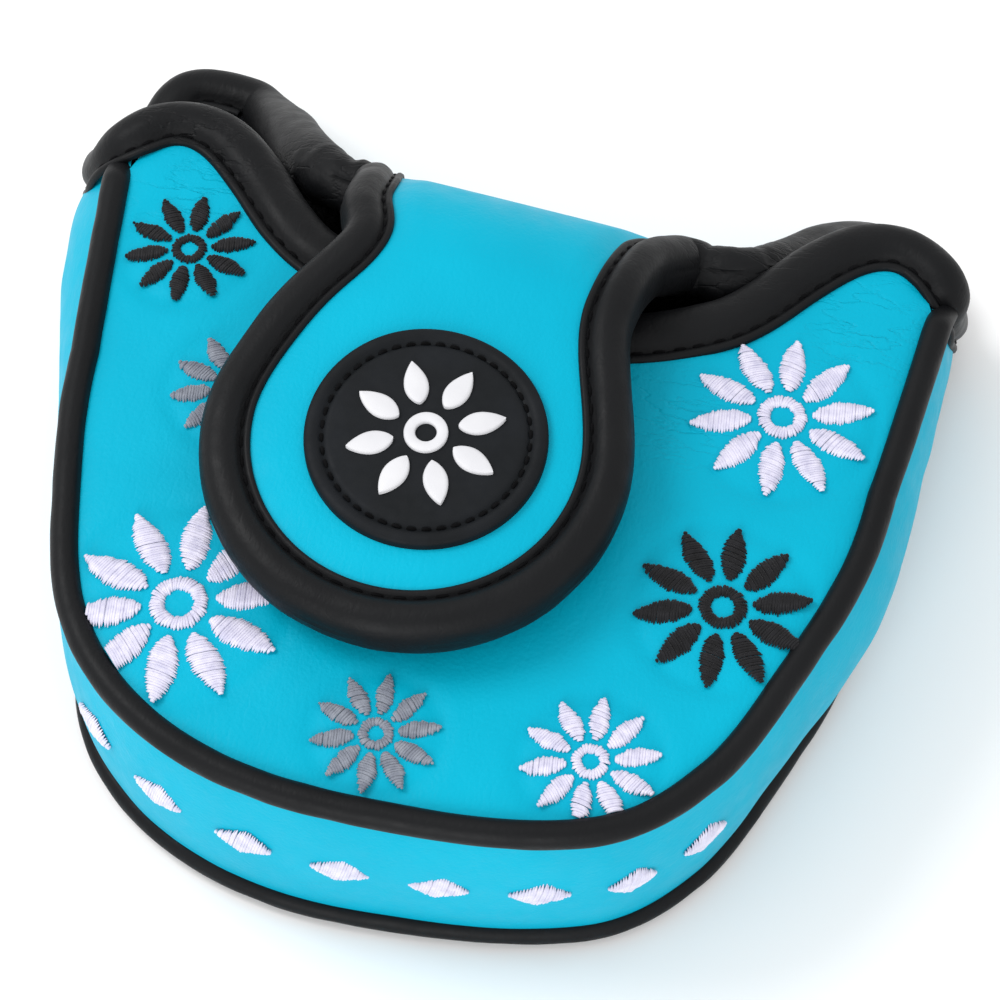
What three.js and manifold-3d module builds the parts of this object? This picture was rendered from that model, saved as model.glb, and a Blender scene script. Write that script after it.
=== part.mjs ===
// Putter head cover: a padded leather cover for a mallet putter head, lying on its back panel.
// Millimetres. +Z up, X across the cover, mouth towards +Y, rounded nose towards -Y, back panel at z = 0.
// Each panel is a sandwich of leather skin, foam and knit lining, and every layer is a solid of its own.

import * as THREE from 'three';
import { mergeVertices } from 'three/addons/utils/BufferGeometryUtils.js';
import Module from 'manifold-3d';

const wasm = await Module();
wasm.setup();

// ---------------------------------------------------------------- driving dimensions

// Outline of the body, seen from above, along the front piping.
const WIDEST_Y = -2;
const HALF_WIDTH = 59;
const NOSE_REACH = 63.4;
const NOSE_POWER = 2.6;
const SIDE_TAPER = 0.095;

// Layers of every padded panel, from the outside in, as depths below the outer surface.
const SKIN = { top: 0, bottom: 1 };
const FOAM = { top: 1.6, bottom: 3.8 };
const LINING = { top: 4.4, bottom: 5.4 };
const SANDWICH = LINING.bottom;

// Front panel.
const FRONT_Z = 37;
const FRONT_CROWN = 2.4;
const CROWN_TO_MOUTH = 32;
const SEAM_INSET = 2.3;

// Gusset, the band round the nose and the sides.
const GUSSET_BOTTOM_Z = 6.8;
const GUSSET_TOP_Z = 34.6;
const BASE_INSET = 1.5;
const NOSE_BULGE = 1.5;
const SIDE_BULGE = 5;
const GUSSET_END_TOP_Y = 25.5;
const GUSSET_END_BOTTOM_Y = 48;

// Heights up the gusset, as shares, and the bulge there as a share of the largest.
const GUSSET_LEVELS = [0, 0.25, 0.5, 0.72, 0.86, 1];
const GUSSET_BULGES = [0, 0.75, 1, 0.8, 0.45, 0];
const GUSSET_BREAK = 4;
const BULGE_GROWS_FROM_Y = -55;
const BULGE_GROWS_TO_Y = 5;

// Pipings.
const FRONT_PIPING_Z = 36.5;
const FRONT_PIPING_RADIUS = 1.9;
const BASE_PIPING_Z = 2.4;
const BASE_PIPING_RADIUS = 1.7;
const PIPING_SIDES = 7;
const PIPING_STEPS = 38;

// Back panel and flap: flat underneath, then curling up and over on one circle at mid width.
const CURL_Y = 14;
const CURL_RADIUS = 25.5;
const CURL_FULL_WIDTH = 24;
const CURL_NO_WIDTH = 50;
const EAR_LIFT = 5;
const EAR_LIFT_START = 33;
const EAR_LIFT_END = 50;

// Flap. Lengths run along its outer surface from the lift hinge.
const LIFT_HINGE_DEG = 10;
const ROLL_HINGE_DEG = 60;
const NECK_HALF_WIDTH = 20.2;
const NECK_FLARE = 3.6;
const NECK_FLARE_LENGTH = 20;
const LOBE_RADIUS = 26.3;
const LOBE_SHIFT_X = -7.3;
const LOBE_Y = -14;
const FLAP_SLOPE = 0.06;
const FLAP_TIP_HALF_WIDTH = 0.6;
const HINGE_GAP = 0.5;
const BINDING_HINGE_GAP = 1.6;

// Rolled binding: a folded strip that grips a panel edge.
const BINDING_HALF_THICKNESS = 4;
const BINDING_WALL = 1.05;
const BINDING_LIP = 4.4;
const BINDING_FLAT = 1.2;
const BINDING_SHOULDER = 3.1;
const BINDING_SHOULDER_SHARE = 0.7;
const BINDING_INSIDE = 1;
const GUSSET_BINDING_ROOM = 0.4;
const GUSSET_BINDING_TOP = 0.72;
const GUSSET_BINDING_BOTTOM = 0.14;
const EAR_BINDING_ROOM = 0.35;

// Patch, emblem, embroidery and magnets.
const PATCH_RADIUS = 17;
const PATCH_THICKNESS = 1.6;
const EMBLEM_RADIUS = 11.5;
const EMBLEM_THICKNESS = 0.8;
const EMBLEM_PETALS = 8;
const EMBLEM_PETAL_DEPTH = 0.35;
const EMBLEM_PETAL_POINTS = 6;
const PATCH_POINTS = 36;
const THREAD_THICKNESS = 0.7;
const FIT_GAP = 0.3;
const MAGNET_RADIUS = 6;
const MAGNET_THICKNESS = 2;
const MAGNET_SPACING = 18;
const POCKET_CLEARANCE = 0.4;

// Front panel motifs: centre, radius and thread colour.
const MOTIFS = [
  { name: 'motif_black_left', x: -48.2, y: 17.6, radius: 9.5, thread: 'black' },
  { name: 'motif_grey_left', x: -36, y: -4.8, radius: 9.3, thread: 'grey' },
  { name: 'motif_white_left', x: -35.5, y: -40, radius: 15.5, thread: 'white' },
  { name: 'motif_grey_nose', x: -4.3, y: -54, radius: 9, thread: 'grey' },
  { name: 'motif_white_nose', x: 25.3, y: -52, radius: 9.8, thread: 'white' },
  { name: 'motif_black_right', x: 38.5, y: -25, radius: 12.6, thread: 'black' },
  { name: 'motif_white_right', x: 41, y: 7.2, radius: 13.2, thread: 'white' },
];
const MOTIF_PETALS = 10;
const MOTIF_PETAL_DEPTH = 0.18;
const MOTIF_EDGE_ROOM = 0.6;
const MOTIF_PETAL_POINTS = 4;

// Row of marks round the nose of the gusset.
const MARK_COUNT = 8;
const MARK_FIRST = -0.36;
const MARK_LAST = 0.36;
const MARK_HALF_WIDTH = 3.6;
const MARK_HALF_HEIGHT = 0.14;
const MARK_HEIGHT = 0.47;
const MARK_GAP = 0.5;
const MARK_CORNERS = [[1, 0], [0.5, 0.7], [0, 1], [-0.5, 0.7], [-1, 0], [-0.5, -0.7], [0, -1], [0.5, -0.7]];

const COLOURS = {
  leather: { color: 0x03b8d8, roughness: 0.5, metalness: 0 },
  binding: { color: 0x232325, roughness: 0.55, metalness: 0 },
  rubber: { color: 0x14181e, roughness: 0.6, metalness: 0 },
  foam: { color: 0xd9d4c4, roughness: 0.95, metalness: 0 },
  lining: { color: 0x2c2f36, roughness: 0.95, metalness: 0 },
  white: { color: 0xe1def0, roughness: 0.6, metalness: 0 },
  grey: { color: 0x969ba5, roughness: 0.6, metalness: 0 },
  black: { color: 0x15161a, roughness: 0.6, metalness: 0 },
  magnet: { color: 0xb8bcc0, roughness: 0.3, metalness: 1 },
};

// ---------------------------------------------------------------- small helpers

const model = new THREE.Group();

function part(name, look, geometry) {
  const mesh = new THREE.Mesh(geometry, new THREE.MeshStandardMaterial(COLOURS[look]));
  mesh.name = name;
  model.add(mesh);
}

function smooth(value, from, to) {
  return THREE.MathUtils.smoothstep(value, from, to);
}

function steps(count, from, to) {
  return Array.from({ length: count + 1 }, (_, i) => from + ((to - from) * i) / count);
}

// Angles of evenly spaced points round a circle.
function fullTurn(count) {
  return Array.from({ length: count }, (_, i) => (2 * Math.PI * i) / count);
}

// A closed mesh from its triangles, with its faces turned outwards.
function solid(triangles) {
  let volume = 0;
  for (const [a, b, c] of triangles) {
    volume += a.dot(new THREE.Vector3().crossVectors(b, c));
  }
  const turned = volume < 0 ? triangles.map(([a, b, c]) => [a, c, b]) : triangles;
  return new THREE.BufferGeometry().setFromPoints(turned.flat());
}

// Rings of equal length joined into a skin, with a flat cap at each end of the run.
function loft(rings, capTriangles) {
  const triangles = [];
  const count = rings[0].length;
  for (let r = 0; r + 1 < rings.length; r += 1) {
    for (let i = 0; i < count; i += 1) {
      const j = (i + 1) % count;
      triangles.push([rings[r][i], rings[r][j], rings[r + 1][j]]);
      triangles.push([rings[r][i], rings[r + 1][j], rings[r + 1][i]]);
    }
  }
  const last = rings[rings.length - 1];
  for (const [a, b, c] of capTriangles) {
    triangles.push([rings[0][a], rings[0][c], rings[0][b]]);
    triangles.push([last[a], last[b], last[c]]);
  }
  return solid(triangles);
}

// A flat outline turned into a layer of a curved sheet. The outline is seen whole from its centre.
function layer(outline, centre, rings, sheet, depthTop, depthBottom) {
  const face = (depth) => {
    const hub = sheet(centre.x, centre.y, depth);
    const loops = rings.map((ring) =>
      outline.map((p) => sheet(
        centre.x + (p.x - centre.x) * ring,
        centre.y + (p.y - centre.y) * ring,
        depth,
      )),
    );
    return { hub, loops };
  };
  const top = face(depthTop);
  const bottom = face(depthBottom);
  const triangles = [];
  const count = outline.length;
  const band = (inner, outer, flip) => {
    for (let i = 0; i < count; i += 1) {
      const j = (i + 1) % count;
      const quad = [[inner[i], outer[i], outer[j]], [inner[i], outer[j], inner[j]]];
      for (const [a, b, c] of quad) {
        triangles.push(flip ? [a, c, b] : [a, b, c]);
      }
    }
  };
  for (const [side, flip] of [[top, false], [bottom, true]]) {
    for (let i = 0; i < count; i += 1) {
      const j = (i + 1) % count;
      const [a, b] = [side.loops[0][i], side.loops[0][j]];
      triangles.push(flip ? [side.hub, b, a] : [side.hub, a, b]);
    }
    for (let r = 0; r + 1 < rings.length; r += 1) {
      band(side.loops[r], side.loops[r + 1], flip);
    }
  }
  band(top.loops[rings.length - 1], bottom.loops[rings.length - 1], false);
  return solid(triangles);
}

function toManifold(geometry) {
  const plain = geometry.clone();
  for (const name of Object.keys(plain.attributes)) {
    if (name !== 'position') {
      plain.deleteAttribute(name);
    }
  }
  const merged = mergeVertices(plain, 1e-4);
  return new wasm.Manifold(new wasm.Mesh({
    numProp: 3,
    vertProperties: new Float32Array(merged.attributes.position.array),
    triVerts: new Uint32Array(merged.index.array),
  }));
}

function cut(geometry, cutters) {
  let body = toManifold(geometry);
  for (const cutter of cutters) {
    body = body.subtract(toManifold(cutter));
  }
  const mesh = body.getMesh();
  const result = new THREE.BufferGeometry();
  result.setAttribute('position', new THREE.BufferAttribute(new Float32Array(mesh.vertProperties), 3));
  result.setIndex(Array.from(mesh.triVerts));
  return result;
}

// ---------------------------------------------------------------- body outline

function nosePoints() {
  return steps(48, 0, Math.PI).map((angle) => {
    const across = Math.cos(angle);
    const reach = Math.abs(across) ** (2 / NOSE_POWER);
    const forward = Math.abs(Math.sin(angle)) ** (2 / NOSE_POWER);
    return new THREE.Vector2(
      -Math.sign(across) * HALF_WIDTH * reach,
      WIDEST_Y - NOSE_REACH * forward,
    );
  });
}

const nose = new THREE.SplineCurve(nosePoints());
const noseLength = nose.getLength();

function sideWidth(y) {
  return HALF_WIDTH + SIDE_TAPER * (y - WIDEST_Y);
}

// Point of the U-shaped outline at u from -1, the left mouth corner, to 1, the right one.
function outlineAt(u, endY) {
  const distance = Math.abs(u) * (noseLength / 2 + endY - WIDEST_Y);
  const beyondNose = distance - noseLength / 2;
  if (beyondNose < 0) {
    const share = 0.5 + (Math.sign(u) * distance) / noseLength;
    return nose.getPointAt(THREE.MathUtils.clamp(share, 0, 1));
  }
  const y = WIDEST_Y + beyondNose;
  return new THREE.Vector2(Math.sign(u) * sideWidth(y), y);
}

function outlineOffset(u, endY, outward) {
  const reach = 0.004;
  const before = outlineAt(Math.max(u - reach, -1), endY);
  const after = outlineAt(Math.min(u + reach, 1), endY);
  const along = after.sub(before).normalize();
  return outlineAt(u, endY).add(new THREE.Vector2(along.y, -along.x).multiplyScalar(outward));
}

// ---------------------------------------------------------------- curved sheets
// Each sheet takes two places on it and a depth below its outer surface, and gives a point.

function onFront(x, y, depth) {
  const across = x / HALF_WIDTH;
  const along = (y - WIDEST_Y) / (y < WIDEST_Y ? NOSE_REACH : CROWN_TO_MOUTH);
  const crown = FRONT_CROWN * Math.max(0, 1 - across * across) * Math.max(0, 1 - along * along);
  return new THREE.Vector3(x, y, FRONT_Z + crown - depth);
}

function gussetEndY(v) {
  const top = GUSSET_LEVELS[GUSSET_BREAK];
  const rise = Math.max(0, (top - v) / top);
  return GUSSET_END_TOP_Y + (GUSSET_END_BOTTOM_Y - GUSSET_END_TOP_Y) * rise;
}

// Distance of the gusset's outer surface past the outline, at a height share v.
function gussetReach(v, bulge) {
  const below = GUSSET_LEVELS.findLastIndex((level) => level <= v);
  const i = THREE.MathUtils.clamp(below, 0, GUSSET_LEVELS.length - 2);
  const share = (v - GUSSET_LEVELS[i]) / (GUSSET_LEVELS[i + 1] - GUSSET_LEVELS[i]);
  return -BASE_INSET * (1 - v) + bulge * THREE.MathUtils.lerp(GUSSET_BULGES[i], GUSSET_BULGES[i + 1], share);
}

// v runs from 0 at the base to 1 at the front piping.
function onGusset(u, v, depth, endY = gussetEndY(v)) {
  const y = outlineAt(u, endY).y;
  const bulge = NOSE_BULGE + (SIDE_BULGE - NOSE_BULGE) * smooth(y, BULGE_GROWS_FROM_Y, BULGE_GROWS_TO_Y);
  const plan = outlineOffset(u, endY, gussetReach(v, bulge) - depth);
  return new THREE.Vector3(plan.x, plan.y, GUSSET_BOTTOM_Z + (GUSSET_TOP_Z - GUSSET_BOTTOM_Z) * v);
}

// The back panel lies flat up to CURL_Y. Past it, s is the length along the outer surface.
function backSurface(x, s) {
  const curl = 1 - smooth(Math.abs(x), CURL_FULL_WIDTH, CURL_NO_WIDTH);
  const turn = Math.max(0, s) / CURL_RADIUS;
  const flatY = CURL_Y + s;
  const flatZ = EAR_LIFT * smooth(s, EAR_LIFT_START, EAR_LIFT_END);
  const curledY = s < 0 ? flatY : CURL_Y + CURL_RADIUS * Math.sin(turn);
  const curledZ = CURL_RADIUS * (1 - Math.cos(turn));
  return new THREE.Vector3(
    x,
    THREE.MathUtils.lerp(flatY, curledY, curl),
    THREE.MathUtils.lerp(flatZ, curledZ, curl),
  );
}

function onBack(x, s, depth) {
  const reach = 0.5;
  const across = backSurface(x + reach, s).sub(backSurface(x - reach, s));
  const along = backSurface(x, s + reach).sub(backSurface(x, s - reach));
  const inward = across.cross(along).normalize();
  return backSurface(x, s).addScaledVector(inward, depth);
}

// The flap goes on round the same circle from the lift hinge, then runs forward over the front panel.
const liftAngle = THREE.MathUtils.degToRad(LIFT_HINGE_DEG);
const arcLength = CURL_RADIUS * (Math.PI / 2 - liftAngle);
const rollLength = CURL_RADIUS * THREE.MathUtils.degToRad(ROLL_HINGE_DEG - LIFT_HINGE_DEG);
const lobeLength = arcLength + CURL_Y - LOBE_Y;
const liftStation = CURL_RADIUS * (Math.PI / 2 + liftAngle);

function onFlap(x, length, depth) {
  if (length < arcLength) {
    const angle = liftAngle + length / CURL_RADIUS;
    const radius = CURL_RADIUS - depth;
    return new THREE.Vector3(x, CURL_Y + radius * Math.cos(angle), CURL_RADIUS + radius * Math.sin(angle));
  }
  const run = length - arcLength;
  return new THREE.Vector3(x, CURL_Y - run, 2 * CURL_RADIUS - FLAP_SLOPE * run - depth);
}

function flapCentre(length) {
  const share = THREE.MathUtils.clamp(length / lobeLength, 0, 1);
  return LOBE_SHIFT_X * Math.sin((Math.PI / 2) * share);
}

function flapHalfWidth(length) {
  if (length > lobeLength) {
    return Math.sqrt(Math.max(0, LOBE_RADIUS ** 2 - (length - lobeLength) ** 2));
  }
  const flare = NECK_FLARE * (1 - smooth(length, 0, NECK_FLARE_LENGTH));
  const widening = (LOBE_RADIUS - NECK_HALF_WIDTH) * smooth(length, arcLength, lobeLength);
  return NECK_HALF_WIDTH + flare + widening;
}

// ---------------------------------------------------------------- padded panels

const LAYERS = [
  { suffix: 'skin', look: 'leather', depth: SKIN },
  { suffix: 'foam', look: 'foam', depth: FOAM },
  { suffix: 'lining', look: 'lining', depth: LINING },
];

// Front mouth edge, right half, from the middle of the dip to the outer corner.
const frontEdgeHalf = [
  [0, 15], [16, 15.8], [28.4, 20.4], [35.6, 26], [42.5, 33], [48.5, 38], [54, 38.8], [59, 34], [60.8, 26.6],
];

// Back ear edge in back panel lengths, from beside the flap to the outer corner.
const backEdgeHalf = [[31, 46.4], [37, 47.2], [47, 48.4], [55, 49.4], [61, 47], [62.9, 41]];
const EAR_STEPS = 10;
const FRONT_EDGE_STEPS = 26;
const FRONT_BODY_STEPS = 24;
const BACK_BODY_STEPS = 20;

// Middle of each panel's mesh, and its rings as shares of the way out to the edge.
const FRONT_CENTRE = new THREE.Vector2(0, -12);
const FRONT_RINGS = [0.45, 0.8, 1];
const BACK_CENTRE = new THREE.Vector2(0, -30);
const BACK_RINGS = [0.45, 0.62, 0.78, 0.92, 1];

function mirrored(half) {
  const left = half.slice(1).reverse().map(([x, y]) => [-x, y]);
  return left.concat(half);
}

function curveThrough(points) {
  return new THREE.SplineCurve(points.map(([x, y]) => new THREE.Vector2(x, y)));
}

const frontEdge = curveThrough(mirrored(frontEdgeHalf));
const backEdgeRight = curveThrough(backEdgeHalf);

function frontOutline() {
  const body = steps(FRONT_BODY_STEPS, -1, 1)
    .map((u) => outlineOffset(u, GUSSET_END_TOP_Y, -SEAM_INSET));
  const mouth = frontEdge.getSpacedPoints(FRONT_EDGE_STEPS).reverse();
  return body.concat(mouth);
}

function backOutline() {
  const toLength = (p) => new THREE.Vector2(p.x, p.y - CURL_Y);
  const inset = -BASE_INSET - SEAM_INSET;
  const body = steps(BACK_BODY_STEPS, -1, 1)
    .map((u) => toLength(outlineOffset(u, GUSSET_END_BOTTOM_Y, inset)));
  const right = backEdgeRight.getSpacedPoints(EAR_STEPS).reverse();
  const left = right.map((p) => new THREE.Vector2(-p.x, p.y)).reverse();
  const jointLength = liftStation - HINGE_GAP;
  const middle = steps(4, CURL_FULL_WIDTH, -CURL_FULL_WIDTH).map((x) => new THREE.Vector2(x, jointLength));
  return [...body, ...right, ...middle, ...left];
}

function magnetPlaces() {
  return [-1, 1].map((side) => ({
    side: side < 0 ? 'left' : 'right',
    x: LOBE_SHIFT_X + (side * MAGNET_SPACING) / 2,
  }));
}

// A disc across a sheet at a given middle depth, standing square to Z.
function disc(place, radius, thickness, sheet, along, depth) {
  const geometry = new THREE.CylinderGeometry(radius, radius, thickness, 24);
  geometry.rotateX(Math.PI / 2);
  const middle = sheet(place.x, along, depth);
  geometry.translate(middle.x, middle.y, middle.z);
  return geometry;
}

const foamMiddle = (FOAM.top + FOAM.bottom) / 2;

function magnetHoles(sheet, along) {
  return magnetPlaces().map((place) =>
    disc(place, MAGNET_RADIUS + POCKET_CLEARANCE, 4 * MAGNET_THICKNESS, sheet, along, foamMiddle));
}

function frontPanel() {
  const outline = frontOutline();
  for (const { suffix, look, depth } of LAYERS) {
    const plain = layer(outline, FRONT_CENTRE, FRONT_RINGS, onFront, depth.top, depth.bottom);
    const shape = suffix === 'foam' ? cut(plain, magnetHoles(onFront, LOBE_Y)) : plain;
    part(`front_panel_${suffix}`, look, shape);
  }
}

function backPanel() {
  const outline = backOutline();
  for (const { suffix, look, depth } of LAYERS) {
    const shape = layer(outline, BACK_CENTRE, BACK_RINGS, onBack, depth.top, depth.bottom);
    part(`back_panel_${suffix}`, look, shape);
  }
}

function gusset() {
  for (const { suffix, look, depth } of LAYERS) {
    const levels = suffix === 'skin' ? GUSSET_LEVELS : GUSSET_LEVELS.slice(0, GUSSET_BREAK + 1);
    const rings = steps(30, -1, 1).map((u) => [
      ...levels.map((v) => onGusset(u, v, depth.top)),
      ...levels.toReversed().map((v) => onGusset(u, v, depth.bottom)),
    ]);
    const last = 2 * levels.length - 1;
    const caps = levels.slice(1).flatMap((_, i) => [[i, i + 1, last - 1 - i], [i, last - 1 - i, last - i]]);
    part(`gusset_${suffix}`, look, loft(rings, caps));
  }
}

// A strip of the flap between two lengths along it.
function flapStrip(lengths, depth) {
  const rings = lengths.map((length) => {
    const middle = flapCentre(length);
    const half = Math.max(flapHalfWidth(length), FLAP_TIP_HALF_WIDTH);
    return [
      onFlap(middle - half, length, depth.top),
      onFlap(middle + half, length, depth.top),
      onFlap(middle + half, length, depth.bottom),
      onFlap(middle - half, length, depth.bottom),
    ];
  });
  return loft(rings, [[0, 1, 2], [0, 2, 3]]);
}

function flap() {
  const neckLengths = steps(6, HINGE_GAP, rollLength - HINGE_GAP);
  const arcEnd = steps(4, rollLength + HINGE_GAP, arcLength);
  const straight = steps(4, arcLength, lobeLength).slice(1);
  const round = steps(10, 0, Math.PI / 2).slice(1)
    .map((angle) => lobeLength + LOBE_RADIUS * Math.sin(angle));
  const lobeLengths = [...arcEnd, ...straight, ...round];
  for (const { suffix, look, depth } of LAYERS) {
    part(`flap_neck_${suffix}`, look, flapStrip(neckLengths, depth));
    const plain = flapStrip(lobeLengths, depth);
    const shape = suffix === 'foam' ? cut(plain, magnetHoles(onFlap, lobeLength)) : plain;
    part(`flap_lobe_${suffix}`, look, shape);
  }
}

// ---------------------------------------------------------------- bindings and pipings

// Section of a folded strip: outward past the panel edge, and up from the panel's middle depth.
function bindingSection(extra) {
  const half = BINDING_HALF_THICKNESS + extra;
  const inner = half - BINDING_WALL;
  const shoulder = half * BINDING_SHOULDER_SHARE;
  const upper = [[-BINDING_LIP, half], [BINDING_FLAT, half], [BINDING_SHOULDER, shoulder]];
  const lower = upper.map(([x, y]) => [x, -y]).reverse();
  const outer = [...upper, [half, 0], ...lower];
  const pocket = [[-BINDING_LIP, -inner], [BINDING_INSIDE, -inner]];
  const inside = [...pocket, ...pocket.map(([x, y]) => [x, -y]).reverse()];
  return outer.concat(inside).reverse().map(([x, y]) => new THREE.Vector2(x, y));
}

// A binding along an edge path on a sheet. outwardSide is 1 where outward lies to the path's right.
function binding(name, path, sheet, outwardSide = 1, extra = 0) {
  const section = bindingSection(extra);
  const sectionCaps = THREE.ShapeUtils.triangulateShape(section, []);
  const rings = path.map((point, i) => {
    const before = path[Math.max(i - 1, 0)];
    const after = path[Math.min(i + 1, path.length - 1)];
    const along = after.clone().sub(before).normalize();
    const out = new THREE.Vector2(along.y, -along.x).multiplyScalar(outwardSide);
    return section.map((p) => sheet(
      point.x + out.x * p.x,
      point.y + out.y * p.x,
      SANDWICH / 2 - p.y,
    ));
  });
  part(name, 'binding', loft(rings, sectionCaps));
}

function mouthBindings() {
  binding('front_mouth_binding', frontEdge.getSpacedPoints(FRONT_EDGE_STEPS), onFront, -1);
  const right = backEdgeRight.getSpacedPoints(EAR_STEPS);
  const left = right.map((p) => new THREE.Vector2(-p.x, p.y));
  binding('back_ear_binding_right', right, onBack, -1, EAR_BINDING_ROOM);
  binding('back_ear_binding_left', left, onBack, 1, EAR_BINDING_ROOM);
}

// The gusset end between the front corner and the back corner, as a sheet of y and height.
function onGussetSide(side) {
  const length = GUSSET_TOP_Z - GUSSET_BOTTOM_Z;
  return (y, z, depth) => {
    const v = (z - GUSSET_BOTTOM_Z) / length;
    return new THREE.Vector3(side * (sideWidth(y) + gussetReach(v, SIDE_BULGE) - depth), y, z);
  };
}

function gussetEndBindings() {
  for (const side of [-1, 1]) {
    const path = steps(5, GUSSET_BINDING_TOP, GUSSET_BINDING_BOTTOM).map((v) =>
      new THREE.Vector2(gussetEndY(v), GUSSET_BOTTOM_Z + (GUSSET_TOP_Z - GUSSET_BOTTOM_Z) * v));
    const name = side < 0 ? 'gusset_end_binding_left' : 'gusset_end_binding_right';
    binding(name, path, onGussetSide(side), -1, GUSSET_BINDING_ROOM);
  }
}

function flapBindings() {
  for (const side of [-1, 1]) {
    const path = steps(6, BINDING_HINGE_GAP, rollLength - BINDING_HINGE_GAP).map((length) =>
      new THREE.Vector2(flapCentre(length) + side * flapHalfWidth(length), length));
    binding(side < 0 ? 'neck_binding_left' : 'neck_binding_right', path, onFlap, side);
  }
  const edge = (side, lengths) => lengths.map((length) =>
    new THREE.Vector2(flapCentre(length) + side * flapHalfWidth(length), length));
  const right = edge(1, steps(8, rollLength + BINDING_HINGE_GAP, lobeLength));
  const left = edge(-1, steps(8, lobeLength, rollLength + BINDING_HINGE_GAP));
  const end = steps(16, 0, Math.PI).slice(1, -1).map((angle) => new THREE.Vector2(
    LOBE_SHIFT_X + LOBE_RADIUS * Math.cos(angle),
    lobeLength + LOBE_RADIUS * Math.sin(angle),
  ));
  binding('lobe_binding', [...right, ...end, ...left], onFlap, 1);
}

function piping(name, radius, z, inset, endY) {
  const points = steps(PIPING_STEPS, -1, 1).map((u) => {
    const plan = outlineOffset(u, endY, -inset);
    return new THREE.Vector3(plan.x, plan.y, z);
  });
  const circle = new THREE.Shape(
    fullTurn(PIPING_SIDES).map((a) => new THREE.Vector2(radius * Math.cos(a), radius * Math.sin(a))),
  );
  const extrudePath = new THREE.CatmullRomCurve3(points);
  part(name, 'binding', new THREE.ExtrudeGeometry(circle, { steps: PIPING_STEPS, extrudePath }));
}

// ---------------------------------------------------------------- patch, embroidery, magnets

function petalOutline(centre, radius, petals, pointsPerPetal, depth) {
  return fullTurn(petals * pointsPerPetal).map((angle) => {
    const reach = radius * (1 - depth * (0.5 + 0.5 * Math.cos(petals * angle)));
    return new THREE.Vector2(centre.x + reach * Math.cos(angle), centre.y + reach * Math.sin(angle));
  });
}

// Pulls a point back towards a centre until it is inside the front panel's seam.
function insideSeam(point, centre) {
  const margin = SEAM_INSET + MOTIF_EDGE_ROOM;
  const pulled = point.clone();
  const outside = (p) => {
    const across = Math.abs(p.x) / (HALF_WIDTH - margin);
    const along = Math.max(0, WIDEST_Y - p.y) / (NOSE_REACH - margin);
    return across ** NOSE_POWER + along ** NOSE_POWER > 1;
  };
  while (outside(pulled)) {
    pulled.lerp(centre, 0.02);
  }
  return pulled;
}

function motifs() {
  for (const { name, x, y, radius, thread } of MOTIFS) {
    const centre = new THREE.Vector2(x, y);
    const whole = petalOutline(centre, radius, MOTIF_PETALS, MOTIF_PETAL_POINTS, MOTIF_PETAL_DEPTH);
    const outline = whole.map((p) => insideSeam(p, centre));
    part(name, thread, layer(outline, centre, [1], onFront, -FIT_GAP - THREAD_THICKNESS, -FIT_GAP));
  }
}

function gussetMarks() {
  steps(MARK_COUNT - 1, MARK_FIRST, MARK_LAST).forEach((u, i) => {
    const centre = new THREE.Vector2(u, MARK_HEIGHT);
    const reach = MARK_HALF_WIDTH / (noseLength / 2 + GUSSET_END_TOP_Y - WIDEST_Y);
    const outline = MARK_CORNERS.map(([a, b]) =>
      new THREE.Vector2(u + a * reach, MARK_HEIGHT + b * MARK_HALF_HEIGHT));
    const sheet = (a, v, depth) => onGusset(a, v, depth, GUSSET_END_TOP_Y);
    const lozenge = layer(outline, centre, [1], sheet, -MARK_GAP - THREAD_THICKNESS, -MARK_GAP);
    part(`gusset_mark_${i + 1}`, 'white', lozenge);
  });
}

function patch() {
  const centre = new THREE.Vector2(LOBE_SHIFT_X, lobeLength);
  const round = fullTurn(PATCH_POINTS).map((a) => new THREE.Vector2(
    centre.x + PATCH_RADIUS * Math.cos(a),
    centre.y + PATCH_RADIUS * Math.sin(a),
  ));
  const patchTop = -FIT_GAP - PATCH_THICKNESS;
  part('patch_base', 'rubber', layer(round, centre, [1], onFlap, patchTop, -FIT_GAP));
  const emblemBottom = patchTop - FIT_GAP;
  const emblemTop = emblemBottom - EMBLEM_THICKNESS;
  const emblem = petalOutline(centre, EMBLEM_RADIUS, EMBLEM_PETALS, EMBLEM_PETAL_POINTS, EMBLEM_PETAL_DEPTH);
  part('patch_emblem', 'white', layer(emblem, centre, [1], onFlap, emblemTop, emblemBottom));
}

function magnets() {
  for (const place of magnetPlaces()) {
    const inLobe = disc(place, MAGNET_RADIUS, MAGNET_THICKNESS, onFlap, lobeLength, foamMiddle);
    const inFront = disc(place, MAGNET_RADIUS, MAGNET_THICKNESS, onFront, LOBE_Y, foamMiddle);
    part(`flap_magnet_${place.side}`, 'magnet', inLobe);
    part(`front_magnet_${place.side}`, 'magnet', inFront);
  }
}

// ---------------------------------------------------------------- the cover

frontPanel();
backPanel();
gusset();
flap();
mouthBindings();
gussetEndBindings();
flapBindings();
piping('front_piping', FRONT_PIPING_RADIUS, FRONT_PIPING_Z, 0, GUSSET_END_TOP_Y);
piping('base_piping', BASE_PIPING_RADIUS, BASE_PIPING_Z, BASE_INSET, GUSSET_END_BOTTOM_Y);
motifs();
gussetMarks();
patch();
magnets();

export default model;
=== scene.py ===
"""Looks of a putter head cover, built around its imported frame.

Lengths in this script are millimetres, in the frame's axes: +Z up, +Y towards the mouth, +X across.
add_mesh() turns them into metres. The sheet functions repeat the surfaces that the solids are made on.
"""
import math

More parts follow.
